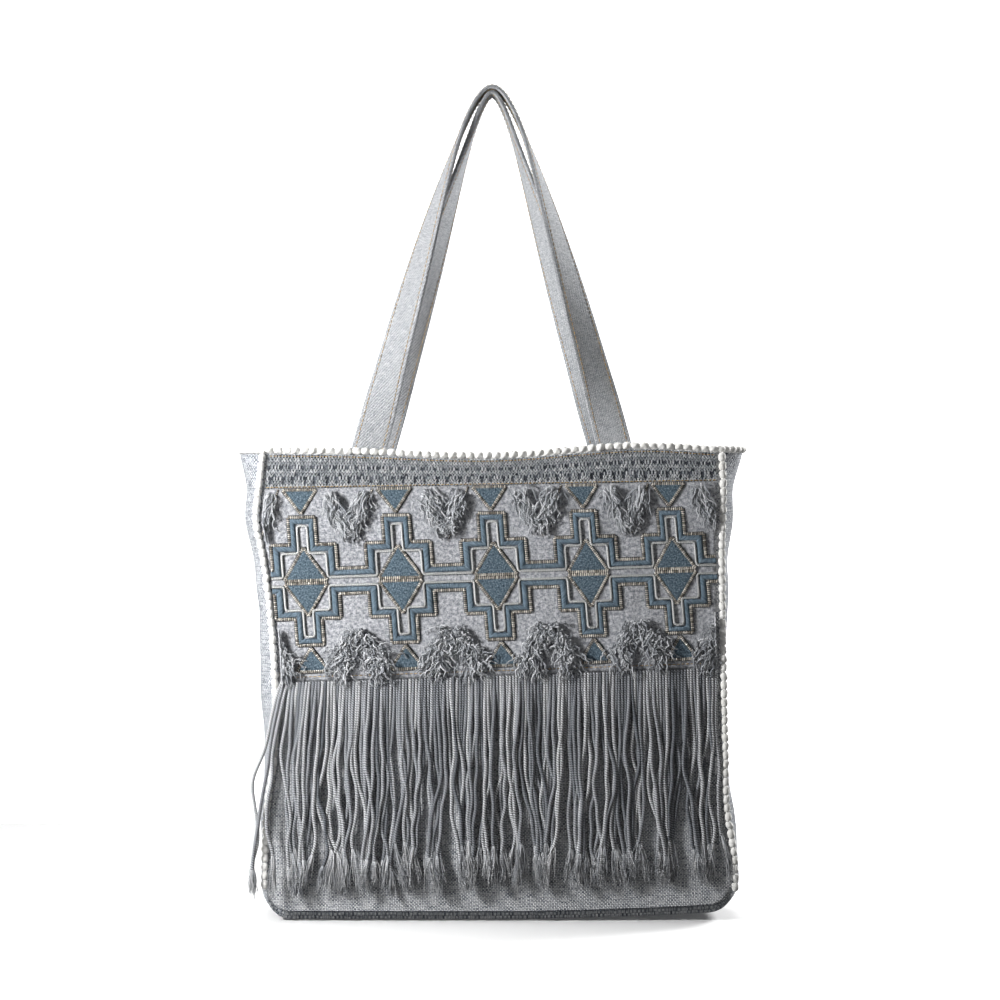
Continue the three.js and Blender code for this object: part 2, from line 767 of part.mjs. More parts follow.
function fringeLock(index, pitch) {
  const across = (index + 0.5) / FRINGE_LOCKS;
  const head = appliqueFoot - GAP;
  const x0 = layerX(across, head);
  const top = designHeight(x0, head) - FRINGE_ROOT_DROP;
  const length = FRINGE_LENGTH - FRINGE_RAGGED * scatter(index);
  const half = (pitch * FRINGE_LOCK_FILL) / 2;
  const rings = FRINGE_STATIONS.map((down) => {
    const x = x0 + fringeDrift(across, down);
    const z = top - length * down;
    const thin = down === 1 ? FRINGE_TIP_SHARE : 1;
    const reach = half * thin;
    const lift = fringeLift(across, down);
    const point = (sideways, out) => {
      const resting = onFront(x + sideways * reach, Math.max(z, bellyHeight), lift + out);
      return resting.setZ(z);
    };
    const thick = FRINGE_LOCK_THICKNESS * thin;
    return [point(-1, thick / 2), point(-0.5, 0), point(0.5, 0),
      point(1, thick / 2), point(0.5, thick), point(-0.5, thick)];
  });
  return loft(rings, false);
}

function buildFringe() {
  const head = gridPiece(HEAD_COLUMNS, 1, (i, j) => {
    const height = appliqueFoot - GAP;
    const x = layerX(i / HEAD_COLUMNS, height);
    return { x, z: designHeight(x, height) - FRINGE_HEAD * (1 - j) };
  });
  const parts = [layer(head, onFront, FRINGE_HEAD_SEAT, FRINGE_HEAD_THICKNESS)];
  const pitch = (layerX(1, appliqueFoot) - layerX(0, appliqueFoot)) / FRINGE_LOCKS;
  for (let k = 0; k < FRINGE_LOCKS; k += 1) parts.push(fringeLock(k, pitch));
  place('fringe', fuse(parts), 'yarn');
}

// A strap: one folded ribbon that rises from inside the mouth, turns edge-on as it nears the
// loop's top, and comes down again. The front one passes over the back one at the top.
function buildStrap(name, face, root, topHeight, bend) {
  const rise = topHeight - BODY_HEIGHT;
  const spread = (root * root - 2 * bend * rise) / (rise * rise);
  const seat = halfDepth(BODY_HEIGHT) - CLOTH - GAP - STRAP_THICKNESS / 2;
  const away = new THREE.Vector3(0, face, 0);
  const stations = [];
  for (let k = 0; k <= STRAP_STEPS; k += 1) {
    const share = (2 * k) / STRAP_STEPS - 1;
    const drop = rise * share * share;
    const aside = Math.sqrt(spread * drop * drop + 2 * bend * drop);
    const slope = (spread * drop + bend) / Math.max(aside, bend * 0.01);
    const side = Math.sign(share);
    const run = new THREE.Vector3(slope, 0, -side).normalize();
    if (side === 0) run.set(1, 0, 0);
    const turn = (along(TWIST_ROWS, 'turn', drop / rise) * Math.PI) / 2;
    const centre = new THREE.Vector3(side * aside, (face * seat * drop) / rise, topHeight - drop);
    stations.push({ centre, run, turn });
  }
  const tucked = (end, sign) => {
    const centre = end.centre.clone().addScaledVector(end.run, sign * STRAP_TUCK);
    return { centre, run: end.run, turn: 0 };
  };
  stations.unshift(tucked(stations[0], -1));
  stations.push(tucked(stations[stations.length - 1], 1));
  const rings = stations.map(({ centre, run, turn }) => {
    const inner = new THREE.Vector3(run.z, 0, -run.x);
    const across = inner.clone().multiplyScalar(Math.cos(turn));
    across.addScaledVector(away, Math.sin(turn));
    const outer = away.clone().multiplyScalar(Math.cos(turn));
    outer.addScaledVector(inner, -Math.sin(turn));
    const corner = (a, b) => centre.clone()
      .addScaledVector(across, (a * STRAP_WIDTH) / 2)
      .addScaledVector(outer, (b * STRAP_THICKNESS) / 2);
    const ring = [corner(-1, -1), corner(1, -1), corner(1, 1), corner(-1, 1)];
    return face < 0 ? ring.reverse() : ring;
  });
  place(name, loft(rings, false), 'denim');
}

const hangHeight = BODY_HEIGHT + STRAP_DROP;

function buildStraps() {
  const innerTop = hangHeight + STRAP_THICKNESS / 2;
  const innerBend = STRAP_THICKNESS / 2 + STRAP_HOOK_RADIUS;
  const step = STRAP_THICKNESS + STRAP_NEST_GAP;
  buildStrap('front_strap', -1, STRAP_ROOT, innerTop + step, innerBend + step);
  buildStrap('back_strap', 1, STRAP_ROOT - STRAP_NEST_INSET, innerTop, innerBend);
}

buildPanels();
buildGusset();
buildMouthTrim();
buildSideTrim('left_trim', 0, -1);
buildSideTrim('right_trim', PANEL_COLUMNS, 1);
buildLace();
buildApplique();
buildMotifs();
buildTufts();
buildFringe();
buildStraps();
bag.position.z = -hangHeight;

export default bag;
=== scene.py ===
# The look of a cloth tote bag with an embroidered felt front, a cord fringe and two straps.
# Lengths are in millimetres with the bag standing on z = 0. They become metres, lowered to the
# hook at the origin, when a mesh is made.
import math

import bpy
import numpy as np
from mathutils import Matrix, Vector


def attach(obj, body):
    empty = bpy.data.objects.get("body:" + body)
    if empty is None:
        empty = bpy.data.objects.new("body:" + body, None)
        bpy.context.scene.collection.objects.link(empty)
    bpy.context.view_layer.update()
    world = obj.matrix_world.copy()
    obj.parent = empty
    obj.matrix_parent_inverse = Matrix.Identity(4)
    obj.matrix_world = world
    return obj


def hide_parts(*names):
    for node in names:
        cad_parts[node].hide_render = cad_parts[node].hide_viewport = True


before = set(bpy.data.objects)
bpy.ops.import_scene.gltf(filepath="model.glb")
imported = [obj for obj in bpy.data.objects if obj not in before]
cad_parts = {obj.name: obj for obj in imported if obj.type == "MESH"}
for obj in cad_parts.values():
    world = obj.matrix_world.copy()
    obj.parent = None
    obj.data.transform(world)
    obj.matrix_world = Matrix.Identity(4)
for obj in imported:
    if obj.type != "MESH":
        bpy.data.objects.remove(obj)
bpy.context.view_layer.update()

# Body, as in the CAD source
BODY_WIDTH = 364
BODY_HEIGHT = 374
BASE_DEPTH = 88
MOUTH_DEPTH = 72
CLOTH = 2.2
GAP = 0.3
CORNER_RADIUS = 18
BASE_SAG = 8
BASE_LIFT = 5.5
PANEL_CROWN = 7
BACK_CROWN = 4
HALF_WIDTH = BODY_WIDTH / 2

# Unevenness of the cloth: the sizes and shares of its bumps, and how far they fade at the
# sides, the base and the mouth
RUMPLES = ((52, 0.75), (19, 0.25))
RUMPLE_FADES = (0.2, 25, 60)
BACK_RUMPLE = 1.6
CREASE_SIZE = 24
CREASE_SPREAD = 40
CREASE_FADE = 0.3
FELT_RELIEF = 0.22
FELT_RELIEF_SIZE = 9

# Bobble trim. Lengths, radii and such in pairs are ranges, as shares of the full size
TRIM_RADIUS = 2.75
TRIM_CORD_RADIUS = 0.35 * TRIM_RADIUS
TRIM_END_HEIGHT = 24
BOBBLE_PITCH = 7
BOBBLE_LENGTH = 8.2
BOBBLE_RADIUS = 3
BOBBLE_LENGTHS = (0.94, 1.04)
BOBBLE_RADII = (0.92, 1.04)
BOBBLE_TILT = 0.16
BOBBLE_ROUNDNESS = 2.4

# Layers sewn on the front, and the line through the middle of the diamonds
LACE = 1.2
LACE_DROP = 1
LACE_HEIGHT = 25
LACE_BASE_HEIGHT = BODY_HEIGHT - LACE_HEIGHT
LAYER_INSET = 2.8
BACKING_FELT = 1.2
MOTIF_FELT = 1
TRIANGLE_BASE = 71.5
DESIGN_CLEARANCE = 1.5
DESIGN_HEIGHT = LACE_BASE_HEIGHT - DESIGN_CLEARANCE - TRIANGLE_BASE
DESIGN_RISE = 11.8
DESIGN_LEAN = 0.08
APPLIQUE_DROP = 79
APPLIQUE_FOOT = DESIGN_HEIGHT - APPLIQUE_DROP
MOTIF_LIFT = GAP + BACKING_FELT + GAP
TUFT_LIFT = MOTIF_LIFT + MOTIF_FELT + GAP

# Crochet: every third row is of posts, the others are of stitches in V form with holes
LACE_ROWS = 9
LACE_PITCH = 2.5
LACE_REPEAT = 7
LACE_HOLES = {1: (1, 5), 2: (1, 5), 3: (3,), 5: (1, 5)}
LACE_DARK_ROWS = (3, 6)
LACE_DARK = 0.75
LACE_POST_LEAN = 0.05
LACE_LEAN = 0.42
LACE_PART = 0.08
LACE_REACH = 1.15
LACE_SLIP = 0.12
# The dark sheet under the stitches is painted shade for the holes
LACE_SHADE_GROUND = 0.3
LACE_THREAD = 0.52
LACE_THREAD_LIFT = 0.5
LACE_BOW = 0.7

# Motifs, measured from the middle of a diamond
MOTIF_PITCH = 75.6
BAND_VALLEY = 10
BAND_SHOULDER_TOP = 29.2
BAND_SHOULDER_SIDE = 26
BAND_TOWER_TOP = 50.4
BAND_TOWER_SIDE = 10.7
BAND_LEFT_END = 27.5
BAND_RIGHT_END = 34
DIAMOND_HALF_WIDTH = 17.2
DIAMOND_HALF_HEIGHT = 27
DIAMOND_SPLIT = 1.2
TRIANGLE_HALF_WIDTH = 13.4
TRIANGLE_TIP = 53
MOTIF_EDGE = 0.35
MOTIF_SLOPES = (10, 6)
MOTIF_MAP_SHIFT = (0, 400)

# How far the satin's edges and the white cord lie inside the band's beaded outline, on its level
# stretches and on its shoulders' upright ones
SATIN_OUTER = 1.2
SATIN_OUTER_SIDE = 1.5
SATIN_INNER = 5.3
SATIN_INNER_SIDE = 6.5
SATIN_HEIGHT = 1.5
SATIN_EDGE = 0.3
SATIN_MAP_WIDTH = 5
CORD_INSIDE = 6.7
CORD_INSIDE_SIDE = 8.1
CORD_RADIUS = 0.95
CORD_BEND = 2.2
CORD_STEP = 1.3

# Seed beads, and the flat dark tubes under them and under the white cord: painted shade between and
# beside them
BEAD_LENGTH = 2.5
BEAD_RADIUS = 0.62
BEAD_PITCH = 1.55
BEAD_TILT = 0.09
BEAD_RADII = (0.86, 1.08)
BEAD_PROFILE = ((-1, -0.82, 0, 0.82, 1), (0.4, 0.85, 1, 0.85, 0.4))
SHADE_HALF_WIDTH = 1.85
SHADE_TUBE_HEIGHT = 0.6
CORD_SHADE_HALF_WIDTH = 1.25

# Shaggy yarn tufts. reach is the shortest and longest strand where an arm starts and ends
TUFT_ARM_SPREAD = 15.5
TUFT_ARM_LOW = 39
TUFT_ARM_HIGH = 70
LOWER_TUFT_SPREAD = 19
TUFT_MEET = 2.4
TUFT_OVERHANG = 7
TUFT_CHAIN_SPREAD = 21
TUFT_CHAIN_HIGH = 72
TUFT_CHAIN_LOW = 31
TUFT_CHAIN_SIZE = 0.55
TUFT_STRANDS = 182
TUFT_STRAND_RADIUS = 0.57
TUFT_RADII = (0.7, 1.3)
TUFT_TAPER = 0.65
TUFT_LENGTHS = (0.6, 1.2)
TUFT_TURNS = (0.5, 1.3)
TUFT_CURLS = (0.8, 2.6)
TUFT_PEAKS = (0.4, 4.4)
TUFT_LIFTS = (0, 1.8)
TUFT_DROOP = 0.4
UPPER_TUFT = {"width": 2.8, "lean": -0.4, "stray": 0.4, "reach": (8, 17), "curl": 1.1}
LOWER_TUFT = {"width": 4.5, "lean": 0.15, "stray": 0.8, "reach": (9, 14), "curl": 2.2}

# Fringe. The left flare, and the lift over the seam's bobbles, end between two shares of the way
# across. Each swing is the largest size of a sway, with the range of its waves down a cord
FRINGE_LENGTH = 168
FRINGE_HEAD = 7
FRINGE_HEAD_THICKNESS = 0.7
FRINGE_CORDS = 140
FRINGE_JITTER = 0.15
FRINGE_FLARE_LEFT = 29
FRINGE_FLARE_SHARES = (0.0225, 0.026)
FRINGE_SPREAD_LEFT = 12
FRINGE_FLARE_RIGHT = 8
FRINGE_OVER_TRIM = (0.06, 0.14)
FRINGE_WAVE = 1.4
FRINGE_WAVES = (1.3, 2.2)
FRINGE_RAGGED = 9
FRINGE_CORD_RADIUS = 1.55
FRINGE_DEPTHS = (1.6, 5.6)
FRINGE_PRESS = 1.5
FRINGE_SWINGS = ((5.5, (0.4, 1)), (3.4, (1.2, 2.6)), (0.8, (3, 6)))
FRINGE_CLUMP_CHANCE = 0.23
FRINGE_GATHER = (0.7, 1)
TASSELS = (0.08, 0.2)
TASSEL_END = 5
TASSEL_LAP = 0.02
FILAMENTS = 26
FILAMENT_RADIUS = 0.52
FILAMENT_LENGTHS = (0.55, 1.05)
FILAMENT_SPREAD = 2
FILAMENT_CURL = 1.2
FILAMENT_OUT = (0.8, 1.6)

# Straps
STRAP_WIDTH = 28
STRAP_THICKNESS = 4
STRAP_DROP = 292
STRAP_ROOT = 100
STRAP_NEST_INSET = 5
STRAP_NEST_GAP = 0.4
STRAP_HOOK_RADIUS = 1.1
STRAP_TUCK = 32
STRAP_CORNERS = (0.35, 0.55)
STRAP_STITCH_INSET = 3.4
STRAP_DENT = 0.16
STRAP_DENT_WIDTH = 1.1
STRAP_SWELL = 0.03
STRAP_SWELL_SIZE = 16
HANG_HEIGHT = BODY_HEIGHT + STRAP_DROP

# Stitches
STITCH_LENGTH = 2.7
STITCH_PITCH = 3.7
STITCH_RADIUS = 0.34
LACE_STITCH_INSET = 0.9
FOOT_STITCH_INSET = 3.4
# A thin dark tube of painted shade along the base's seam
BASE_SEAM_SHADE_RADIUS = 0.35

# Steps of the meshes: rows and columns of grids, stations along tubes and their sides
PANEL_GRID = (90, 84)
CORNER_STEPS = 8
GUSSET_COLUMNS = 25
TRIM_COLUMNS = 17
LACE_GRID = (12, 260)
FELT_GRID = (60, 130)
HEADER_GRID = (6, 240)
SATIN_COLUMNS = 7
MOTIF_GRID = (22, 22)
BOBBLE_STEPS = (9, 9)
LACE_STEPS = (4, 4)
TUFT_STEPS = (10, 4)
CORD_STEPS = (48, 7)
TASSEL_STEPS = (5, 3)
STITCH_STEPS = (4, 4)
STRAP_STEPS = (110, 28)
TUCK_STEPS = 8
BEAD_LINE_STEPS = 12
BEAD_SIDES = 5
SHADE_TUBE_SIDES = 4
ROUND_SIDES = 6

# Materials: scales of noise are per metre, stretches and other shares have no unit
CLOTH_SPECULAR = 0.2
WANDER_SCALE = 170
WANDER_SHARE = 1.1
SLUB_STRETCH = 0.16
WARP_STOPS = (0.32, 0.5, 0.68)
WEFT_STOPS = (0.36, 0.5, 0.64)
# How much painted shade darkens the weave's grooves
WEAVE_GROOVE_SHADE = 0.8
WEAVE_DEPTH = 0.4
CLOUD_SHARE = 0.6
FELT_STOPS = (0.38, 0.5, 0.61)
FIBRE_SCALE = 900
SATIN_PITCH = 1.1
SATIN_WOBBLE = 5
SATIN_WOBBLE_SCALE = 260
SATIN_STREAKS = (0.4, 3)
SATIN_STREAK_SCALE = 420
SATIN_DEPTH = 0.3
PLIES = 2
SPECK_SCALE = 700
YARN_STOPS = (0.15, 0.5, 0.85)
YARN_SHADE_SHARE = 0.7
YARN_DEPTH = 0.4
YARN_GROOVE_DEPTH = 0.3

# Seeds of the random draws
SEEDS = {
    "front": 3, "back": 5, "gusset": 11, "mouth": 21, "seams": 30, "lace": 41, "felt": 51,
    "beads": 61, "tufts": 71, "fringe": 81, "straps": 91,
}

# Lights, camera and backdrop, in metres from the hook: name, place, target, width, power
LIGHTS = (
    ("key", (-0.62, -0.46, -0.22), (0, 0, -0.4), 0.16, 8.1),
    ("fill", (0.3, -2.6, 0.3), (0, 0, -0.4), 1.2, 0.8),
    ("top", (0, 0.3, 1.2), (0, -0.1, -0.66), 1.2, 20),
    ("bounce", (-0.4, -0.4, -0.6), (0, 0, -0.6), 0.15, 0.5),
    ("rim", (0.9, 0.5, 0.0), (0.15, 0, -0.3), 0.4, 14),
)
WORLD_STRENGTH = 0.13
CAMERA_PLACE = (0.0064, -2.244, -0.3292)
CAMERA_LENS = 99
STAGE_HALF_WIDTH = 5
STAGE_NEAR = -0.8
STAGE_BEND = 1.2
STAGE_BEND_RADIUS = 0.8
STAGE_TOP = 5
STAGE_STEPS = (8, 12)
STAGE_GAP = 0.0006
WALL_START = 0.5
FLOOR_GLOW = 0.02
WALL_GLOW = 1.5

# Sides, depth, mouth, base, design, gusset and strap twist, row by row, as in the CAD source
SIDE_ROWS = {
    "at": (0, 0.12, 0.24, 0.36, 0.52, 0.655, 0.78, 0.855, 0.92, 1),
    "left": (0.987, 0.986, 0.977, 0.943, 0.943, 0.963, 0.997, 1.028, 1.018, 1),
    "right": (1.06, 1.053, 1.018, 1.013, 1.007, 1.002, 1, 1.004, 1.007, 1),
    "puff_left": (0.075, 0.08, 0.105, 0.14, 0.18, 0.15, 0.15, 0.13, 0.165, 0.235),
    "puff_right": (0.075, 0.085, 0.11, 0.07, 0.045, 0.095, 0.115, 0.125, 0.145, 0.215),
}
DEPTH_ROWS = {
    "at": (0, 0.2, 0.5, 0.8, 1),
    "closed": (0, 0.05, 0.25, 0.65, 1),
    "crown": (0.15, 1, 0.85, 0.4, 0),
}
MOUTH_ROWS = {"at": (-1, -0.65, 0, 0.65, 1), "rise": (0, -0.002, -0.011, 0.01, 0.002)}
BASE_ROWS = {"at": (-1, -0.1, 0.2, 0.7, 1), "lift": (0, 0, 0.03, 0.5, 1)}
CLIMB_ROWS = {"at": (0, 0.74, 0.93, 1), "climb": (1, 1, 0.54, 0.34)}
MOTIF_ROWS = {"at": (0, 1, 2, 3, 4), "across": (-0.409, -0.201, 0.009, 0.212, 0.401)}
GUSSET_ROWS = {"at": (0, 0.1, 0.3, 0.7, 0.9, 1), "puff": (0, 0.5, 1, 1, 0.5, 0)}
TWIST_ROWS = {
    "at": (0, 0.12, 0.27, 0.44, 0.6, 0.77, 0.93, 1),
    "turn": (1, 0.97, 0.8, 0.6, 0.44, 0.29, 0.04, 0),
}
MOTIFS = len(MOTIF_ROWS["at"])

# The gusset's profile along the base, squarer than the one up its sides
BASE_EDGE_ROWS = {
    "at": (0, 0.04, 0.1, 0.3, 0.7, 0.9, 0.96, 1),
    "puff": (0, 0.85, 0.96, 1, 1, 0.96, 0.85, 0),
}


def along(table, column, at):
    """The smooth curve through one column of a table, as in the CAD source."""
    place = np.array(table["at"], float)
    value = np.array(table[column], float)
    at = np.clip(at, place[0], place[-1])
    i = np.clip(np.searchsorted(place, at) - 1, 0, len(place) - 2)
    before = np.maximum(np.arange(len(place)) - 1, 0)
    after = np.minimum(np.arange(len(place)) + 1, len(place) - 1)
    slope = (value[after] - value[before]) / (place[after] - place[before])
    span = place[i + 1] - place[i]
    t = (at - place[i]) / span
    rise = value[i + 1] - value[i]
    m0 = slope[i] * span
    m1 = slope[i + 1] * span
    bend = (3 * rise - 2 * m0 - m1) * t**2
    return value[i] + m0 * t + bend + (m0 + m1 - 2 * rise) * t**3


def mix(a, b, share):
    """What lies between two values: the first at a share of 0, the second at 1."""
    return a + (b - a) * share


def smooth(low, high, value):
    """A rise from 0 at a low value to 1 at a high one, level at both ends."""
    t = np.clip((value - low) / (high - low), 0, 1)
    return t * t * (3 - 2 * t)


def unit(v):
    """Vectors of length 1 in the same directions."""
    return v / np.maximum(np.linalg.norm(v, axis=-1, keepdims=True), 1e-9)


def waves(first, second, size, seed, count=7):
    """A smooth uneven field of about -1 to 1, whose bumps are about one size across."""
    chance = np.random.default_rng(seed)
    total = 0
    for _ in range(count):
        angle = chance.uniform(0, math.tau)
        rate = math.pi / (size * chance.uniform(0.6, 1.5))
        across = first * math.cos(angle) + second * math.sin(angle)
        total = total + np.sin(across * rate + chance.uniform(0, math.tau))
    return total / math.sqrt(count)


def grid(rows, columns):
    """Even shares from 0 to 1, down the rows of a grid and across its columns."""
    return np.linspace(0, 1, rows)[:, None], np.linspace(0, 1, columns)[None]


def lengths(points):
    """The length of a line of points up to each of them."""
    return np.concatenate([[0], np.cumsum(np.linalg.norm(np.diff(points, axis=0), axis=1))])


def at_lengths(at, length, points):
    """Points at some lengths along a line."""
    return np.stack([np.interp(at, length, column) for column in points.T], -1)


def seam_x(side, z):
    """Where a side seam of the panels is, at a height."""
    column = np.where(side < 0, along(SIDE_ROWS, "left", z / BODY_HEIGHT),
                      along(SIDE_ROWS, "right", z / BODY_HEIGHT))
    return side * HALF_WIDTH * column


def half_depth(z):
    """How far the side seams are from the middle, towards the front or the back."""
    return mix(BASE_DEPTH, MOUTH_DEPTH, along(DEPTH_ROWS, "closed", z / BODY_HEIGHT)) / 2


def inside_share(x, z):
    """1 in the middle of the front and 0 at its seams."""
    left = seam_x(-1, z)
    right = seam_x(1, z)
    across = (2 * x - left - right) / (right - left)
    return np.maximum(0, 1 - across**2)


def crown_at(x, z):
    """How full a wall is there, as a share of its crown."""
    return along(DEPTH_ROWS, "crown", z / BODY_HEIGHT) * inside_share(x, z)


def rumple(x, z, seed):
    """Soft unevenness of a wall, which fades at its seams and its mouth."""
    side, low, high = RUMPLE_FADES
    fade = smooth(0, side, inside_share(x, z)) * smooth(0, low, z)
    fade = fade * smooth(0, high, BODY_HEIGHT - z)
    bumps = [share * waves(x, z, size, seed + k) for k, (size, share) in enumerate(RUMPLES)]
    return fade * sum(bumps)


def mouth_height(x):
    """The height of the mouth's edge, which dips in its middle."""
    return BODY_HEIGHT * (1 + along(MOUTH_ROWS, "rise", x / HALF_WIDTH))


def base_height(x):
    """How far the walls' lower edge rises there."""
    return BASE_LIFT * along(BASE_ROWS, "lift", x / HALF_WIDTH)


def on_front(x, z, lift=0.0):
    """Points on the outside of the front, or some lift in front of it."""
    x, z, lift = np.broadcast_arrays(np.asarray(x, float), z, lift)
    y = -half_depth(z) - PANEL_CROWN * crown_at(x, z) - rumple(x, z, SEEDS["front"]) - lift
    return np.stack([x, y, z], -1)


def on_back(x, z, lift=0.0):
    """Points on the outside of the back, or some lift behind it."""
    x, z, lift = np.broadcast_arrays(np.asarray(x, float), z, lift)
    y = half_depth(z) + BACK_CROWN * crown_at(x, z) + lift
    y = y + BACK_RUMPLE * rumple(x, z, SEEDS["back"])
    return np.stack([x, y, z], -1)


def design_height(x, height):
    """Height of a line of the design, which climbs a little to the right."""
    return height + DESIGN_RISE * along(CLIMB_ROWS, "climb", height / BODY_HEIGHT) * x / BODY_WIDTH


def on_design(right, above, lift):
    """Points on the front, from how far right of the first motif and above the diamonds."""
    motif = right / MOTIF_PITCH
    inside = np.clip(motif, 0, MOTIFS - 1)
    x = BODY_WIDTH * along(MOTIF_ROWS, "across", inside)
    x = x + (motif - inside) * MOTIF_PITCH - DESIGN_LEAN * above
    return on_front(x, design_height(x, DESIGN_HEIGHT + above), lift)


def layer_x(share, height):
    """A place across the layers of the front, from their left edge at 0 to their right at 1."""
    return mix(seam_x(-1, height) + LAYER_INSET, seam_x(1, height) - LAYER_INSET, share)


def grid_faces(rows, columns, wrap=False):
    """Four-sided faces of a grid of points, or of a tube if wrap joins its columns."""
    row = np.arange(rows - 1)[:, None] * columns
    column = np.arange(columns if wrap else columns - 1)[None]
    after = (column + 1) % columns
    corners = [row + column, row + after, row + columns + after, row + columns + column]
    return np.stack(corners, -1).reshape(-1, 4)


def add_object(name, data):
    """An object in the scene, for a mesh, a light or a camera."""
    made = bpy.data.objects.new(name, data)
    bpy.context.collection.objects.link(made)
    return made


class Heap:
    """The points and faces of one mesh while it is put together."""

    def __init__(self):
        self.points = []
        self.faces = []
        self.places = []
        self.shades = []
        self.count = 0

    def add(self, points, faces, place, shade=0.5):
        """Adds points with their faces, their place on the cloth and a shade for the material."""
        points = np.reshape(points, (-1, 3))
        self.faces.append(faces + self.count)
        self.points.append(points)
        self.places.append(np.reshape(place, (-1, 2)))
        self.shades.append(np.broadcast_to(np.reshape(shade, -1), len(points)))
        self.count += len(points)

    def shell(self, outer, inner, place, shade=0.5):
        """A closed sheet between two grids of points."""
        rows, columns = outer.shape[:2]
        size = rows * columns
        front = grid_faces(rows, columns)
        spot = np.arange(size).reshape(rows, columns)
        rim = np.concatenate([spot[0], spot[1:, -1], spot[-1, -2::-1], spot[-2:0:-1, 0]])
        after = np.roll(rim, -1)
        edge = np.stack([after, rim, rim + size, after + size], -1)
        faces = np.concatenate([front, front[:, ::-1] + size, edge])
        points = np.concatenate([outer.reshape(-1, 3), inner.reshape(-1, 3)])
        both = np.concatenate([np.reshape(place, (-1, 2))] * 2)
        self.add(points, faces, both, shade)

    def tubes(self, paths, radii, sides, shade=0.5, squash=1.0):
        """Tubes along many paths of equal counts; squash flattens them towards the front."""
        paths = np.asarray(paths, float)
        many, stations = paths.shape[:2]
        radii = np.broadcast_to(radii, (many, stations))
        run = unit(np.gradient(paths, axis=1))
        side = np.empty_like(paths)
        carried = np.cross(run[:, 0], (0.11, 1, 0.07))
        for k in range(stations):
            dot = np.sum(carried * run[:, k], -1, keepdims=True)
            carried = unit(carried - dot * run[:, k])
            side[:, k] = carried
        up = np.cross(run, side)
        angle = math.tau * np.arange(sides) / sides
        first = np.cos(angle)[None, None, :, None] * side[:, :, None]
        second = np.sin(angle)[None, None, :, None] * up[:, :, None] * squash
        points = paths[:, :, None] + radii[:, :, None, None] * (first + second)
        one = grid_faces(stations, sides, wrap=True)
        offset = np.arange(many)[:, None, None] * stations * sides
        faces = (one[None] + offset).reshape(-1, 4)
        length = np.cumsum(np.linalg.norm(np.diff(paths, axis=1), axis=-1), axis=1)
        length = np.concatenate([np.zeros((many, 1)), length], axis=1)
        place = np.empty((many, stations, sides, 2))
        place[..., 0] = (np.arange(sides) / sides)[None, None]
        place[..., 1] = length[:, :, None]
        shade = np.broadcast_to(np.reshape(shade, (-1, 1)), (many, stations * sides))
        self.add(points, faces, place, shade)

    def make(self, name, material, slot, *nodes):
        """Makes the piece, which replaces the named CAD nodes."""
        points = np.concatenate(self.points)
        faces = np.concatenate(self.faces)
        points[:, 2] -= HANG_HEIGHT
        mesh = bpy.data.meshes.new(name)
        mesh.vertices.add(len(points))
        mesh.vertices.foreach_set("co", (points * 0.001).astype(np.float32).ravel())
        mesh.loops.add(faces.size)
        mesh.loops.foreach_set("vertex_index", faces.astype(np.int32).ravel())
        mesh.polygons.add(len(faces))
        mesh.polygons.foreach_set("loop_start", np.arange(0, faces.size, 4, dtype=np.int32))
        layer = mesh.uv_layers.new(name="cloth")
        places = np.concatenate(self.places)[faces.ravel()] * 0.001
        layer.data.foreach_set("uv", places.astype(np.float32).ravel())
        shade = mesh.attributes.new("shade", "FLOAT", "POINT")
        shade.data.foreach_set("value", np.concatenate(self.shades).astype(np.float32))
        mesh.polygons.foreach_set("use_smooth", np.ones(len(faces), bool))
        mesh.update(calc_edges=True)
        mesh.materials.append(material)
        piece = add_object(name, mesh)
        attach(piece, "root")
        if nodes:
            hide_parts(*nodes)


def walk(points, pitch):
    """Even steps along a line of points: the places, and the directions there."""
    length = lengths(points)
    count = max(1, round(length[-1] / pitch))
    at = (np.arange(count) + 0.5) * length[-1] / count
    nearby = 0.4
    ahead = at_lengths(at + nearby, length, points)
    behind = at_lengths(at - nearby, length, points)
    return at_lengths(at, length, points), unit(ahead - behind)


def linear(code):
    """A linear colour from a hexadecimal screen colour."""
    screen = [int(code[k:k + 2], 16) / 255 for k in (0, 2, 4)]
    return tuple(c / 12.92 if c < 0.04045 else ((c + 0.055) / 1.055) ** 2.4 for c in screen) + (1,)


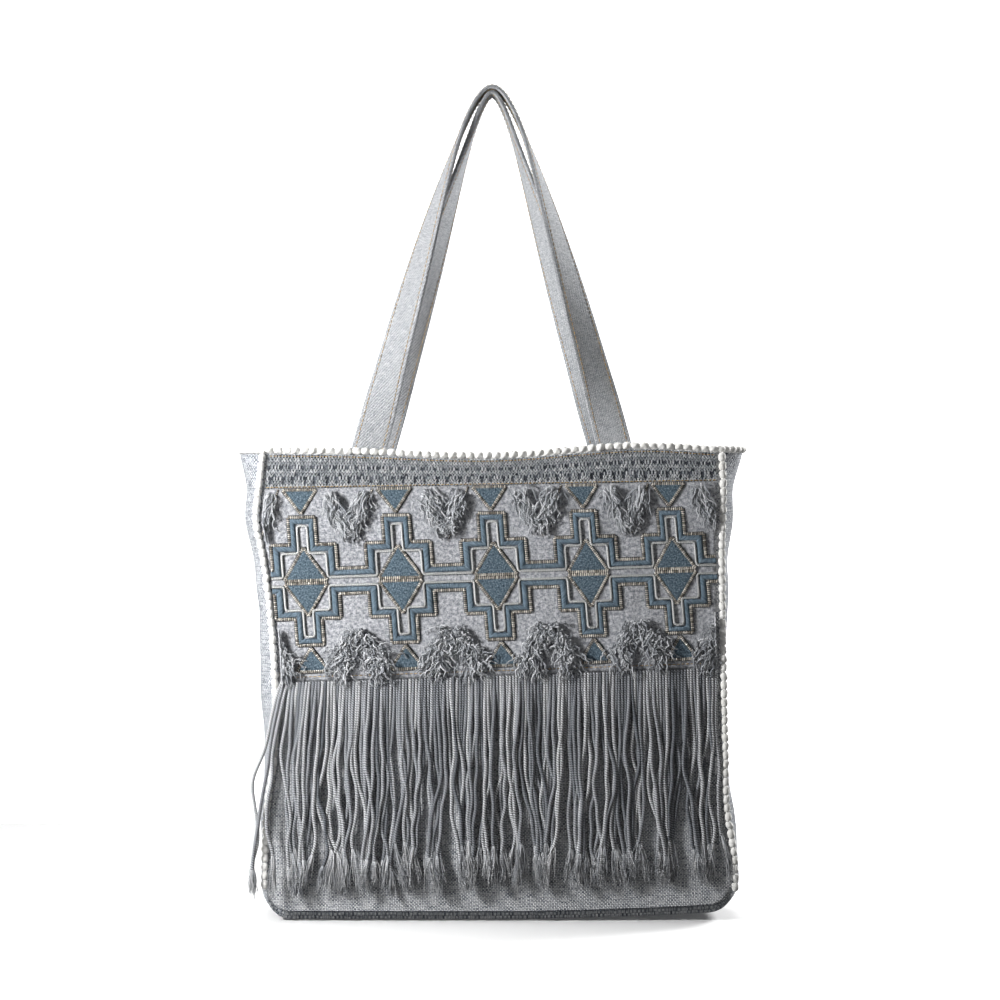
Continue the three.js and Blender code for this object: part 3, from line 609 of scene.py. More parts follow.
class Look:
    """One material, put together from short calls."""

    def __init__(self, name, roughness, sheen=0.0):
        self.material = bpy.data.materials.new(name)
        self.material.use_nodes = True
        self.tree = self.material.node_tree
        self.shader = self.tree.nodes["Principled BSDF"]
        self.shader.inputs["Roughness"].default_value = roughness
        self.shader.inputs["Sheen Weight"].default_value = sheen
        self.shader.inputs["Specular IOR Level"].default_value = CLOTH_SPECULAR
        self.cloth = self.node("UVMap", uv_map="cloth").outputs[0]
        self.shade = self.node("Attribute", attribute_name="shade").outputs["Fac"]

    def node(self, kind, inputs=None, **settings):
        made = self.tree.nodes.new("ShaderNode" + kind)
        for key, value in settings.items():
            setattr(made, key, value)
        for socket, value in (inputs or {}).items():
            if isinstance(value, bpy.types.NodeSocket):
                self.tree.links.new(value, made.inputs[socket])
            else:
                made.inputs[socket].default_value = value
        return made

    def math(self, operation, a, b=0.0):
        return self.node("Math", {0: a, 1: b}, operation=operation).outputs[0]

    def plus(self, a, b):
        return self.math("ADD", a, b)

    def times(self, a, b):
        return self.math("MULTIPLY", a, b)

    def wave(self, angle):
        """A wave from 0 to 1."""
        return self.times(self.plus(self.math("SINE", angle), 1.0), 0.5)

    def weighed(self, first, second, share):
        """A share of the first value with the rest of the second."""
        return self.plus(self.times(first, share), self.times(second, 1 - share))

    def split(self, vector):
        return self.node("SeparateXYZ", {0: vector}).outputs

    def stretched(self, x, y):
        """The place on the cloth, with each direction scaled."""
        return self.node("Mapping", {"Vector": self.cloth, "Scale": (x, y, 1)}).outputs[0]

    def noise(self, vector, scale, detail=2.0, output="Fac"):
        values = {"Vector": vector, "Scale": scale, "Detail": detail}
        return self.node("TexNoise", values).outputs[output]

    def ramp(self, factor, stops, tones):
        """A colour between some tones, each at its stop."""
        made = self.node("ValToRGB", {0: factor})
        band = made.color_ramp.elements
        while len(band) < len(stops):
            band.new(0.5)
        for element, at, code in zip(band, stops, tones.split()):
            element.position = at
            element.color = linear(code)
        return made.outputs[0]

    def blend(self, factor, a, b, kind="MIX"):
        values = {"Factor": factor, 6: a, 7: b}
        return self.node("Mix", values, data_type="RGBA", blend_type=kind).outputs[2]

    def finish(self, color, height, depth_mm):
        """Sets the colour, and a bump of some depth from a height of 0 to 1."""
        values = {"Height": height, "Distance": depth_mm * 0.001, "Strength": 1.0}
        bump = self.node("Bump", values).outputs[0]
        self.tree.links.new(color, self.shader.inputs["Base Color"])
        self.tree.links.new(bump, self.shader.inputs["Normal"])
        return self.material


def woven(name, pitch_mm, warp_tones, weft_tones, twill=0.0):
    """A slub weave of a light warp and a darker weft, plain or with a twill's diagonal."""
    look = Look(name, roughness=0.92, sheen=0.15)
    pitch = pitch_mm * 0.001
    wander = look.noise(look.cloth, WANDER_SCALE, output="Color")
    amount = (WANDER_SHARE * pitch,) * 3
    shift = look.node("VectorMath", {0: wander, 1: amount}, operation="MULTIPLY").outputs[0]
    x, y, _ = look.split(look.node("VectorMath", {0: look.cloth, 1: shift}).outputs[0])
    slanted = look.plus(x, look.times(y, twill))
    warp = look.math("SINE", look.times(slanted, math.pi / pitch))
    weft = look.math("SINE", look.times(y, math.pi / pitch))
    over = look.math("GREATER_THAN", look.times(warp, weft), 0.0)
    warp_slubs = look.noise(look.stretched(1, SLUB_STRETCH), 1 / pitch, 1.0)
    weft_slubs = look.noise(look.stretched(SLUB_STRETCH, 1), 1 / pitch, 1.0)
    light = look.ramp(warp_slubs, WARP_STOPS, warp_tones)
    dark = look.ramp(weft_slubs, WEFT_STOPS, weft_tones)
    crests = {0: over, 2: look.math("ABSOLUTE", weft), 3: look.math("ABSOLUTE", warp)}
    height = look.node("Mix", crests).outputs[0]
    # Painted shade: the weave darkens where its threads dip between the crests
    groove_shade = look.ramp(height, (0.1, 0.6), "565b64 ffffff")
    color = look.blend(WEAVE_GROOVE_SHADE, look.blend(over, dark, light), groove_shade, "MULTIPLY")
    return look.finish(color, height, WEAVE_DEPTH)


def felted(name, tones, cloud_mm, fibre_mm=0.25):
    """A matted felt with clouds of shade, and a bump as deep as its fibres."""
    look = Look(name, roughness=0.95, sheen=0.3)
    cloud = look.noise(look.cloth, 1000 / cloud_mm, 6.0)
    fibres = look.noise(look.cloth, FIBRE_SCALE)
    color = look.ramp(look.weighed(cloud, fibres, CLOUD_SHARE), FELT_STOPS, tones)
    return look.finish(color, fibres, fibre_mm)


def satin(name, tones):
    """Satin stitches side by side across a band."""
    look = Look(name, roughness=0.5, sheen=0.1)
    _, y, _ = look.split(look.cloth)
    wobble = look.times(look.noise(look.cloth, SATIN_WOBBLE_SCALE, 1.0), SATIN_WOBBLE)
    rib = look.wave(look.plus(look.times(y, math.tau * 1000 / SATIN_PITCH), wobble))
    streaks = look.noise(look.stretched(*SATIN_STREAKS), SATIN_STREAK_SCALE)
    return look.finish(look.ramp(streaks, (0.3, 0.7), tones), rib, SATIN_DEPTH)


def yarn(name, tones, ply_mm, roughness=0.9, groove_shade=0.0):
    """Twisted yarn: each tube has its own shade, with plies that wind round it."""
    look = Look(name, roughness, sheen=0.25)
    x, y, _ = look.split(look.cloth)
    turn = look.times(x, math.tau * 1000 * PLIES)
    ply = look.wave(look.plus(turn, look.times(y, math.tau * 1000 / ply_mm)))
    tone = look.weighed(look.shade, look.noise(look.cloth, SPECK_SCALE), YARN_SHADE_SHARE)
    # Painted shade: the plies darken towards the grooves between them, as much as groove_shade
    # gives
    shadow = look.ramp(ply, (0.1, 0.75), "14161a ffffff")
    color = look.blend(groove_shade, look.ramp(tone, YARN_STOPS, tones), shadow, "MULTIPLY")
    return look.finish(color, ply, YARN_DEPTH + YARN_GROOVE_DEPTH * groove_shade)


def beaded(name, tones):
    """Metal-lined glass beads, each with its own shade."""
    look = Look(name, roughness=0.3)
    look.shader.inputs["Metallic"].default_value = 0.35
    look.shader.inputs["Coat Weight"].default_value = 0.3
    color = look.ramp(look.shade, (0.1, 0.9), tones)
    return look.finish(color, look.noise(look.cloth, FIBRE_SCALE, 1.0), 0.05)


def paper(name, glow):
    """Almost white paper that gives off some light."""
    look = Look(name, roughness=0.9)
    look.shader.inputs["Emission Color"].default_value = (1, 1, 1, 1)
    look.shader.inputs["Emission Strength"].default_value = glow
    tint = look.ramp(look.noise(look.cloth, 3), (0.3, 0.7), "fafafa ffffff")
    return look.finish(tint, look.noise(look.cloth, 60), 0.05)


# Tones are screen colours, from dark to light
body_cloth = woven("slub_weave", 1.4, "bfc2c6 e2e3e5 fafafa", "737983 b9bcc2 e4e5e7")
gusset_weave = woven("gusset_weave", 1.6, "a2a6ac c6c9cd e4e6e8", "535963 969ba3 cfd1d5")
strap_cloth = woven("strap_denim", 1.1, "bfc3c8 dcdee0 f2f3f4", "9fa4ab c3c6cb e2e3e6", 0.4)
grey_felt = felted("washed_felt", "75787f a6a8ad cfcfd3", 2.6, 0.6)
blue_felt = felted("blue_felt", "2f3b46 51636f 7b8c99", 1.3, 0.7)
blue_satin = satin("blue_satin", "425361 8397a6")
lace_yarn = yarn("lace_yarn", "7b8087 b9bdc2 efeff1", 1.3)
# A dark ground of painted shade under the crochet and behind the fringe's heads
lace_shade_ground = felted("lace_shade_ground", "2e3237 4c5056 787c83", 8)
tuft_yarn = yarn("tuft_yarn", "8a8e94 b9bcc0 dfe0e3", 1.6)
fringe_yarn = yarn("fringe_yarn", "757a82 bbbec4 f4f5f7", 1.9, groove_shade=0.8)
fray_yarn = yarn("fray_yarn", "888c93 c8cbd0 fcfcfd", 1.5)
white_cord = yarn("white_cord", "b2b4b5 d6d7d6 f0efec", 1.9, groove_shade=0.25)
bobble_cotton = yarn("bobble_cotton", "e2e0da f2f1ed fcfbf9", 5)
ochre_thread = yarn("ochre_thread", "9c7d4a c9a66b e3c896", 1.1, roughness=0.6)
seed_beads = beaded("seed_beads", "7d776e dad4ca")
# Charcoal for the dark tubes under the beads and the white cord and along the base's seam: painted
# shade
painted_shade = felted("painted_shade_thread", "1f2226 33373d 50545b", 4)


def panel_grid():
    """Places of a grid on the front or back panel, with its rounded lower corners."""
    tall = BODY_HEIGHT - BASE_SAG
    rows, columns = PANEL_GRID
    angle = np.linspace(0, math.pi / 2, CORNER_STEPS + 1)[:-1]
    low = CORNER_RADIUS * (1 - np.cos(angle)) / tall
    share = np.concatenate([low, np.linspace(CORNER_RADIUS / tall, 1, rows)])[:, None]
    across = np.linspace(0, 1, columns)[None]
    above = share * tall
    height = BASE_SAG + above
    short = np.maximum(0, CORNER_RADIUS - above)
    inset = CORNER_RADIUS - np.sqrt(CORNER_RADIUS**2 - short**2)
    x = mix(seam_x(-1, height) + inset, seam_x(1, height) - inset, across)
    return x, mix(BASE_SAG + base_height(x), mouth_height(x), share)


panel_x, panel_z = panel_grid()


def seam_path():
    """The seam from the panel to the gusset, down the left side, along the base and up."""
    columns = [panel_x[::-1, 0], panel_x[0, 1:], panel_x[1:, -1]]
    heights = [panel_z[::-1, 0], panel_z[0, 1:], panel_z[1:, -1]]
    x = np.concatenate(columns)
    z = np.concatenate(heights)
    run = unit(np.stack([np.gradient(x), np.gradient(z)], -1))
    out = np.stack([run[:, 1], -run[:, 0]], -1)
    upright = z > BASE_SAG + CORNER_RADIUS
    out[upright] = np.stack([np.sign(x), 0 * x], -1)[upright]
    return x, z, out


def gusset_points(x, z, out, across, inward):
    """Points on the outside of the gusset, or inside it by its thickness."""
    column = np.where(x < 0, along(SIDE_ROWS, "puff_left", z / BODY_HEIGHT),
                      along(SIDE_ROWS, "puff_right", z / BODY_HEIGHT))
    level = out[:, 1:] ** 2
    puff = mix(BASE_DEPTH * column[:, None], BASE_SAG, level)
    side_profile = along(GUSSET_ROWS, "puff", across)[None]
    base_profile = along(BASE_EDGE_ROWS, "puff", across)[None]
    reach = (half_depth(z) - CLOTH - GAP)[:, None]
    crease = waves(CREASE_SPREAD * across[None], z[:, None], CREASE_SIZE, SEEDS["gusset"])
    crease = crease * smooth(0, CREASE_FADE, across) * smooth(0, CREASE_FADE, 1 - across)
    push = puff * mix(side_profile, base_profile, level) + crease * (1 - level) - inward
    y = mix(-reach, reach, across[None])
    return np.stack([x[:, None] + push * out[:, :1], y, z[:, None] + push * out[:, 1:]], -1)


def build_shell(name, material, slot, node, outer, inner, place):
    """A piece that is one closed sheet between two grids of points."""
    heap = Heap()
    heap.shell(outer, inner, place)
    heap.make(name, material, slot, node)


def build_body():
    """The cloth of both walls, and the strip between them with its puffs and creases."""
    weave = (body_cloth, "woven_cotton")
    place = np.stack([panel_x, panel_z], -1)
    outer, inner = [on_front(panel_x, panel_z, lift) for lift in (0, -CLOTH)]
    build_shell("front_cloth", *weave, "front_panel", outer, inner, place)
    outer, inner = [on_back(panel_x, panel_z, lift)[:, ::-1] for lift in (0, -CLOTH)]
    build_shell("back_cloth", *weave, "back_panel", outer, inner, place[:, ::-1])
    x, z, out = seam_path()
    across = np.linspace(0, 1, GUSSET_COLUMNS)
    length = lengths(np.stack([x, z], -1))
    place = np.stack(np.broadcast_arrays(BASE_DEPTH * across[None], length[:, None]), -1)
    outer, inner = [gusset_points(x, z, out, across, inward) for inward in (0, CLOTH)]
    build_shell("gusset_cloth", gusset_weave, "woven_cotton", "gusset", outer, inner, place)


def bobbles(heap, path, seed):
    """A string of round cotton bobbles along a path, on a thin cord."""
    chance = np.random.default_rng(seed)
    places, run = walk(path, BOBBLE_PITCH)
    many = len(places)
    stations, sides = BOBBLE_STEPS
    run = unit(run + chance.normal(0, BOBBLE_TILT, (many, 3)))
    share = np.linspace(-1, 1, stations)
    profile = np.sqrt(np.maximum(0.02, 1 - np.abs(share) ** BOBBLE_ROUNDNESS))
    length = BOBBLE_LENGTH * chance.uniform(*BOBBLE_LENGTHS, many)
    paths = places[:, None] + 0.5 * length[:, None, None] * share[None, :, None] * run[:, None]
    radii = BOBBLE_RADIUS * chance.uniform(*BOBBLE_RADII, many)[:, None] * profile[None]
    heap.tubes(paths, radii, sides, chance.uniform(0.3, 0.8, many))
    heap.tubes(path[None], TRIM_CORD_RADIUS, ROUND_SIDES, 0.3)


def build_trims():
    """Bobbles all round the mouth and down both front seams."""
    across = np.linspace(0, 1, TRIM_COLUMNS)
    raised = np.array([0, 0, GAP + TRIM_RADIUS])
    forward = np.array([0, CLOTH - TRIM_RADIUS, 0])
    top_x = panel_x[-1]
    top_z = panel_z[-1]
    ends = np.array([0, -1])
    out = np.array([[-1.0, 0], [1.0, 0]])
    left, right = gusset_points(top_x[ends], top_z[ends], out, across, 0)
    aside = np.array([TRIM_RADIUS - CLOTH, 0, 0])
    line = [
        on_front(top_x, top_z) + forward,
        right[2:-2] + aside,
        (on_back(top_x, top_z) - forward)[::-1],
        (left[2:-2] - aside)[::-1],
    ]
    mouth = Heap()
    path = np.concatenate(line + [line[0][:1]]) + raised
    bobbles(mouth, path, SEEDS["mouth"])
    mouth.make("mouth_bobbles", bobble_cotton, "bobble_cotton", "mouth_trim")
    step = (TRIM_RADIUS + GAP) / math.sqrt(2)
    for name, column, side in (("left", 0, -1), ("right", -1, 1)):
        x = panel_x[::-1, column]
        z = panel_z[::-1, column]
        kept = z >= TRIM_END_HEIGHT
        path = on_front(x[kept] + side * step, z[kept], step)
        seam = Heap()
        bobbles(seam, path, SEEDS["seams"] + side)
        seam.make(f"{name}_bobbles", bobble_cotton, "bobble_cotton", f"{name}_trim")


def build_layer(name, material, slot, node, x, z, lift):
    """A layer sewn on the front, as thick as its lift above a small gap."""
    place = np.stack([x, z], -1)
    build_shell(name, material, slot, node, on_front(x, z, lift), on_front(x, z, GAP), place)


def on_lace(across, share):
    """A place on the lace, from its lower left corner to its upper right one."""
    x = layer_x(across, mix(LACE_BASE_HEIGHT, BODY_HEIGHT - LACE_DROP, share))
    return x, mix(design_height(x, LACE_BASE_HEIGHT), mouth_height(x) - LACE_DROP, share)


def build_lace():
    """Crochet: stitches on a dark ground of painted shade, which shows in the holes left between
    them.
    """
    share, across = grid(*LACE_GRID)
    x, z = on_lace(across, share)
    # Painted shade: a dark sheet under the stitches, seen in the holes between them
    build_layer("lace_shade_ground", lace_shade_ground, "lace", "lace_band", x, z, GAP + LACE_SHADE_GROUND)
    chance = np.random.default_rng(SEEDS["lace"])
    columns = int((BODY_WIDTH - 2 * LAYER_INSET) / LACE_PITCH)
    stitches = []
    shades = []
    for row in range(LACE_ROWS):
        dark = LACE_DARK if row in LACE_DARK_ROWS else 1
        for column in range(columns):
            if (column + row // 3) % LACE_REPEAT in LACE_HOLES.get(row, ()):
                continue
            for side in (-1, 1):
                slip, tip = chance.normal(0, LACE_SLIP, 2)
                stitches.append((column + 0.5, row, side, slip, tip))
                shades.append(chance.uniform(0.15, 0.95) * dark)
    column, row, side, slip, tip = np.array(stitches).T[..., None]
    stations, sides = LACE_STEPS
    t = np.linspace(0, 1, stations)[None]
    lean = np.where(row % 3 == 2, LACE_POST_LEAN, LACE_LEAN)
    at = (column + side * (lean * t + LACE_PART) + slip * t) / columns
    up = np.clip((row + 0.05 + (LACE_REACH + 0.3 * tip) * t) / LACE_ROWS, 0.01, 0.99)
    x, z = on_lace(at, up)
    arch = np.sin(math.pi * t)
    lift = GAP + LACE_THREAD_LIFT + LACE_BOW * arch
    radii = LACE_THREAD * (0.55 + 0.45 * arch)
    stitched = Heap()
    stitched.tubes(on_front(x, z, lift), radii, sides, np.array(shades))
    stitched.make("lace_stitches", lace_yarn, "lace")


def build_applique():
    """The grey felt panel below the lace."""
    share, across = grid(*FELT_GRID)
    height = mix(APPLIQUE_FOOT, LACE_BASE_HEIGHT - GAP, share)
    x = layer_x(across, height)
    z = design_height(x, height)
    lift = GAP + BACKING_FELT + FELT_RELIEF * waves(x, z, FELT_RELIEF_SIZE, SEEDS["felt"])
    build_layer("applique_felt", grey_felt, "grey_felt", "applique_panel", x, z, lift)


def band_steps(middle, narrow, narrow_side):
    """The corners of a band round one diamond, some way inside its outline."""
    shoulder = BAND_SHOULDER_SIDE - narrow_side
    tower = BAND_TOWER_SIDE - narrow
    valley = BAND_VALLEY - narrow
    shoulder_top = BAND_SHOULDER_TOP - narrow
    tower_top = BAND_TOWER_TOP - narrow
    half = [(shoulder, valley), (shoulder, shoulder_top), (tower, shoulder_top), (tower, tower_top)]
    return [(middle - x, z) for x, z in half] + [(middle + x, z) for x, z in half[::-1]]


def band_line(narrow, narrow_side, sign):
    """A line that follows all steps of a band, some way inside its outline."""
    line = [(-BAND_LEFT_END, BAND_VALLEY - narrow)]
    for k in range(MOTIFS):
        line += band_steps(k * MOTIF_PITCH, narrow, narrow_side)
    line.append(((MOTIFS - 1) * MOTIF_PITCH + BAND_RIGHT_END, BAND_VALLEY - narrow))
    return np.array(line) * (1, sign)


def build_bands():
    """Padded satin between each band's beads and its white cord."""
    across = np.linspace(0, 1, SATIN_COLUMNS)[None]
    dome = np.sqrt(np.maximum(0, 1 - (2 * across - 1) ** 2))
    lift = MOTIF_LIFT + SATIN_EDGE * MOTIF_FELT + SATIN_HEIGHT * dome
    for word, sign in (("upper", 1), ("lower", -1)):
        outer = band_line(SATIN_OUTER, SATIN_OUTER_SIDE, sign)
        inner = band_line(SATIN_INNER, SATIN_INNER_SIDE, sign)
        run = lengths((outer + inner) / 2)
        band = Heap()
        for k, length in enumerate(np.diff(run)):
            t = np.linspace(0, 1, max(3, int(length)))[:, None]
            a = mix(outer[k], outer[k + 1], t)[:, None]
            b = mix(inner[k], inner[k + 1], t)[:, None]
            spot = mix(a, b, across[..., None])
            place = np.broadcast_arrays(SATIN_MAP_WIDTH * across, run[k] + length * t)
            top = on_design(spot[..., 0], spot[..., 1], lift)
            low = on_design(spot[..., 0], spot[..., 1], MOTIF_LIFT)
            band.shell(top, low, np.stack(place, -1))
        band.make(f"satin_band_{word}", blue_satin, "blue_felt", f"stepped_band_{word}")


def rounded(line, bend):
    """The points of a line of the design, with its corners rounded."""
    path = [line[0]]
    for before, corner, after in zip(line[:-2], line[1:-1], line[2:]):
        back = unit(before - corner)
        ahead = unit(after - corner)
        size = min(bend, np.linalg.norm(before - corner) / 2, np.linalg.norm(after - corner) / 2)
        for t in np.linspace(0, 1, 5):
            first = corner + back * size * (1 - t)
            second = corner + ahead * size * t
            path.append(mix(first, second, t))
    path.append(line[-1])
    path = np.array(path)
    length = lengths(path)
    return at_lengths(np.linspace(0, length[-1], int(length[-1] / CORD_STEP)), length, path)


def build_white_cords():
    """The white cord inside each band, on a flat dark tube of painted shade that shows along its
    sides.
    """
    cords = Heap()
    under_shade = Heap()
    squash = SHADE_TUBE_HEIGHT / CORD_SHADE_HALF_WIDTH
    for sign in (1, -1):
        right, above = rounded(band_line(CORD_INSIDE, CORD_INSIDE_SIDE, sign), CORD_BEND).T
        lift = MOTIF_LIFT + SHADE_TUBE_HEIGHT + CORD_RADIUS / 2
        cords.tubes(on_design(right, above, lift)[None], CORD_RADIUS, ROUND_SIDES, 0.6)
        # Painted shade: a flat dark tube under the cord, seen along both its sides
        under = on_design(right, above, MOTIF_LIFT)[None]
        under_shade.tubes(under, CORD_SHADE_HALF_WIDTH, SHADE_TUBE_SIDES, squash=squash)
    cords.make("white_cords", white_cord, "soutache")
    under_shade.make("cord_painted_shade", painted_shade, "stitching")


def triangle_outlines():
    """Each felt motif's name and its corners, the tip last."""
    for k in range(MOTIFS):
        middle = k * MOTIF_PITCH
        for word, end, sign in (("upper", "top", 1), ("lower", "bottom", -1)):
            for name, half, base, tip in (
                (f"diamond_{k + 1}_{word}", DIAMOND_HALF_WIDTH, DIAMOND_SPLIT, DIAMOND_HALF_HEIGHT),
                (f"triangle_{end}_{k + 1}", TRIANGLE_HALF_WIDTH, TRIANGLE_BASE, TRIANGLE_TIP),
            ):
                corners = [(middle - half, base), (middle + half, base), (middle, tip)]
                yield name, np.array(corners) * (1, sign)


def build_motifs():
    """Felt triangles, which pair up into diamonds, each rounded down at its edges."""
    up, across = grid(*MOTIF_GRID)
    aside = np.minimum(across, 1 - across) * (1 - up)
    edge = np.minimum(MOTIF_SLOPES[0] * aside, MOTIF_SLOPES[1] * up)
    thick = MOTIF_FELT * mix(MOTIF_EDGE, 1, smooth(0, 1, edge))
    for name, (left, right, tip) in triangle_outlines():
        spot = mix(mix(left, right, across[..., None]), tip, up[..., None])
        top = on_design(spot[..., 0], spot[..., 1], MOTIF_LIFT + thick)
        low = on_design(spot[..., 0], spot[..., 1], MOTIF_LIFT)
        build_shell(f"{name}_felt", blue_felt, "blue_felt", name, top, low, spot + MOTIF_MAP_SHIFT)


def bead_row(heap, under_shade, start, end, chance, size=1.0):
    """Seed beads side by side along a straight line of the design, over a flat dark tube of painted
    shade.

    size is that of the beads and of the painted shade under them, as a share of the usual one.
    """
    t = np.linspace(0, 1, BEAD_LINE_STEPS)[:, None]
    right, above = mix(np.array(start, float), np.array(end), t).T
    # Painted shade: a flat dark tube under the beads, seen between and beside them
    under = on_design(right, above, MOTIF_LIFT)[None]
    squash = SHADE_TUBE_HEIGHT / SHADE_HALF_WIDTH
    under_shade.tubes(under, size * SHADE_HALF_WIDTH, SHADE_TUBE_SIDES, squash=squash)
    lift = MOTIF_LIFT + size * (SHADE_TUBE_HEIGHT + BEAD_RADIUS / 2)
    places, run = walk(on_design(right, above, lift), BEAD_PITCH)
    many = len(places)
    out = unit(np.cross(run, (0, 1, 0)) + chance.normal(0, BEAD_TILT, (many, 3)))
    share, profile = np.array(BEAD_PROFILE)
    reach = share[None, :, None] * size * BEAD_LENGTH / 2 * out[:, None]
    radii = BEAD_RADIUS * chance.uniform(*BEAD_RADII, many)[:, None] * profile[None]
    heap.tubes(places[:, None] + reach, radii, BEAD_SIDES, chance.uniform(0, 1, many))


def build_beads():
    """Beads along the bands, round the felt motifs and in a chain beside each upper tuft."""
    chance = np.random.default_rng(SEEDS["beads"])
    under_shade = Heap()
    band_beads = Heap()
    for sign in (1, -1):
        line = band_line(0, 0, sign)
        for start, end in zip(line[:-1], line[1:]):
            bead_row(band_beads, under_shade, start, end, chance)
    band_beads.make("band_beads", seed_beads, "seed_beads")
    motif_beads = Heap()
    for _, corners in triangle_outlines():
        for start, end in zip(corners, np.roll(corners, -1, axis=0)):
            bead_row(motif_beads, under_shade, start, end, chance)
    motif_beads.make("motif_beads", seed_beads, "seed_beads")
    tuft_beads = Heap()
    for k in range(MOTIFS):
        middle = (k - 0.5) * MOTIF_PITCH
        start = (middle + TUFT_CHAIN_SPREAD, TUFT_CHAIN_HIGH)
        end = (middle + TUFT_MEET, TUFT_CHAIN_LOW)
        bead_row(tuft_beads, under_shade, start, end, chance, TUFT_CHAIN_SIZE)
    tuft_beads.make("tuft_beads", seed_beads, "seed_beads")
    # The dark tubes under all the beads: painted shade
    under_shade.make("bead_painted_shade", painted_shade, "stitching")


def strands(heap, start, end, side, kind, chance):
    """Loose yarn ends that fall from an arm of a tuft, which is wider at its end.

    kind gives their spread across the arm, their mean turn and how it varies, their reach and
    how often they wind.
    """
    many = TUFT_STRANDS
    shape = (many, 1)
    stations, sides = TUFT_STEPS
    share = chance.uniform(0, 1, shape)
    aside = chance.normal(0, kind["width"], shape) * (0.6 + 0.6 * share)
    run = unit(np.array(end, float) - start)
    right = mix(start[0], end[0], share) - run[1] * aside
    above = mix(start[1], end[1], share) + run[0] * aside
    t = np.linspace(0, 1, stations)[None]
    angle = chance.normal(side * kind["lean"], kind["stray"], shape) * (1 - TUFT_DROOP * t)
    length = mix(*kind["reach"], share) * chance.uniform(*TUFT_LENGTHS, shape)
    turns = kind["curl"] * chance.uniform(*TUFT_TURNS, shape)
    size = chance.uniform(*TUFT_CURLS, shape) * np.sqrt(t)
    phase = chance.uniform(0, math.tau, shape)
    winding = math.tau * turns * t + phase
    right = right + length * t * np.sin(angle) + size * (np.cos(winding) - np.cos(phase))
    above = above - length * t * np.cos(angle) + 0.8 * size * (np.sin(winding) - np.sin(phase))
    above = np.maximum(above, -APPLIQUE_DROP - TUFT_OVERHANG)
    arch = chance.uniform(*TUFT_PEAKS, shape) * np.sin(math.pi * t**0.7) ** 0.7
    lift = TUFT_LIFT + arch + 0.5 * size * np.sin(winding + 1)
    lift = np.maximum(lift + chance.uniform(*TUFT_LIFTS, shape), TUFT_LIFT)
    points = on_design(right, above, lift)
    room = LAYER_INSET + 2 * TUFT_STRAND_RADIUS
    low = seam_x(-1, points[..., 2]) + room
    high = seam_x(1, points[..., 2]) - room
    points[..., 0] = np.clip(points[..., 0], low, high)
    radii = TUFT_STRAND_RADIUS * chance.uniform(*TUFT_RADII, shape) * (1 - TUFT_TAPER * t**6)
    heap.tubes(points, radii, sides, chance.uniform(0, 1, many))


def build_tufts():
    """Shaggy tufts between the diamonds, in V form above them and upside down below."""
    chance = np.random.default_rng(SEEDS["tufts"])
    for k in range(MOTIFS + 1):
        middle = (k - 0.5) * MOTIF_PITCH
        upper = Heap()
        lower = Heap()
        for side in (-1, 1):
            if (k == 0 and side < 0) or (k == MOTIFS and side > 0):
                continue
            meet = middle + side * TUFT_MEET
            high = (middle + side * TUFT_ARM_SPREAD, TUFT_ARM_HIGH)
            strands(upper, (meet, TUFT_ARM_LOW), high, side, UPPER_TUFT, chance)
            foot = (middle + side * LOWER_TUFT_SPREAD, -TUFT_ARM_HIGH)
            strands(lower, (meet, -TUFT_ARM_LOW), foot, side, LOWER_TUFT, chance)
        upper.make(f"shag_top_{k + 1}", tuft_yarn, "yarn", f"tuft_top_{k + 1}")
        lower.make(f"shag_bottom_{k + 1}", tuft_yarn, "yarn", f"tuft_bottom_{k + 1}")


def fringe_drift(across, down):
    """How far a cord is to the right of its head: it flares out near the seams."""
    flare = mix(FRINGE_FLARE_LEFT, FRINGE_SPREAD_LEFT, smooth(*FRINGE_FLARE_SHARES, across))
    left = flare * (1 - across) ** 8 * down**0.7
    right = FRINGE_FLARE_RIGHT * across**8 * down**2
    waves_down, waves_across = FRINGE_WAVES
    turn = math.tau * (waves_down * down + waves_across * across)
    return right - left + FRINGE_WAVE * np.sin(turn) * down


def fringe_lift(across, down):
    """How far the cords lie off the front: those at the left pass over the seam's bobbles."""
    over_trim = TRIM_RADIUS + (TRIM_RADIUS + GAP) / math.sqrt(2) + GAP
    return 2 * GAP + over_trim * (1 - smooth(*FRINGE_OVER_TRIM, across)) * smooth(0, 0.1, down)


def hanging(across, down, aside, out, length):
    """Points of the fringe, which lies on the front and hangs plumb below its fullest part."""
    head = APPLIQUE_FOOT - GAP
    x0 = layer_x(across, head)
    z = design_height(x0, head) - length * down
    x = x0 + fringe_drift(across, down) + aside
    resting = np.maximum(z, BODY_HEIGHT * DEPTH_ROWS["at"][1])
    points = on_front(x, resting, fringe_lift(across, down) + out)
    points[..., 2] = z
    return points


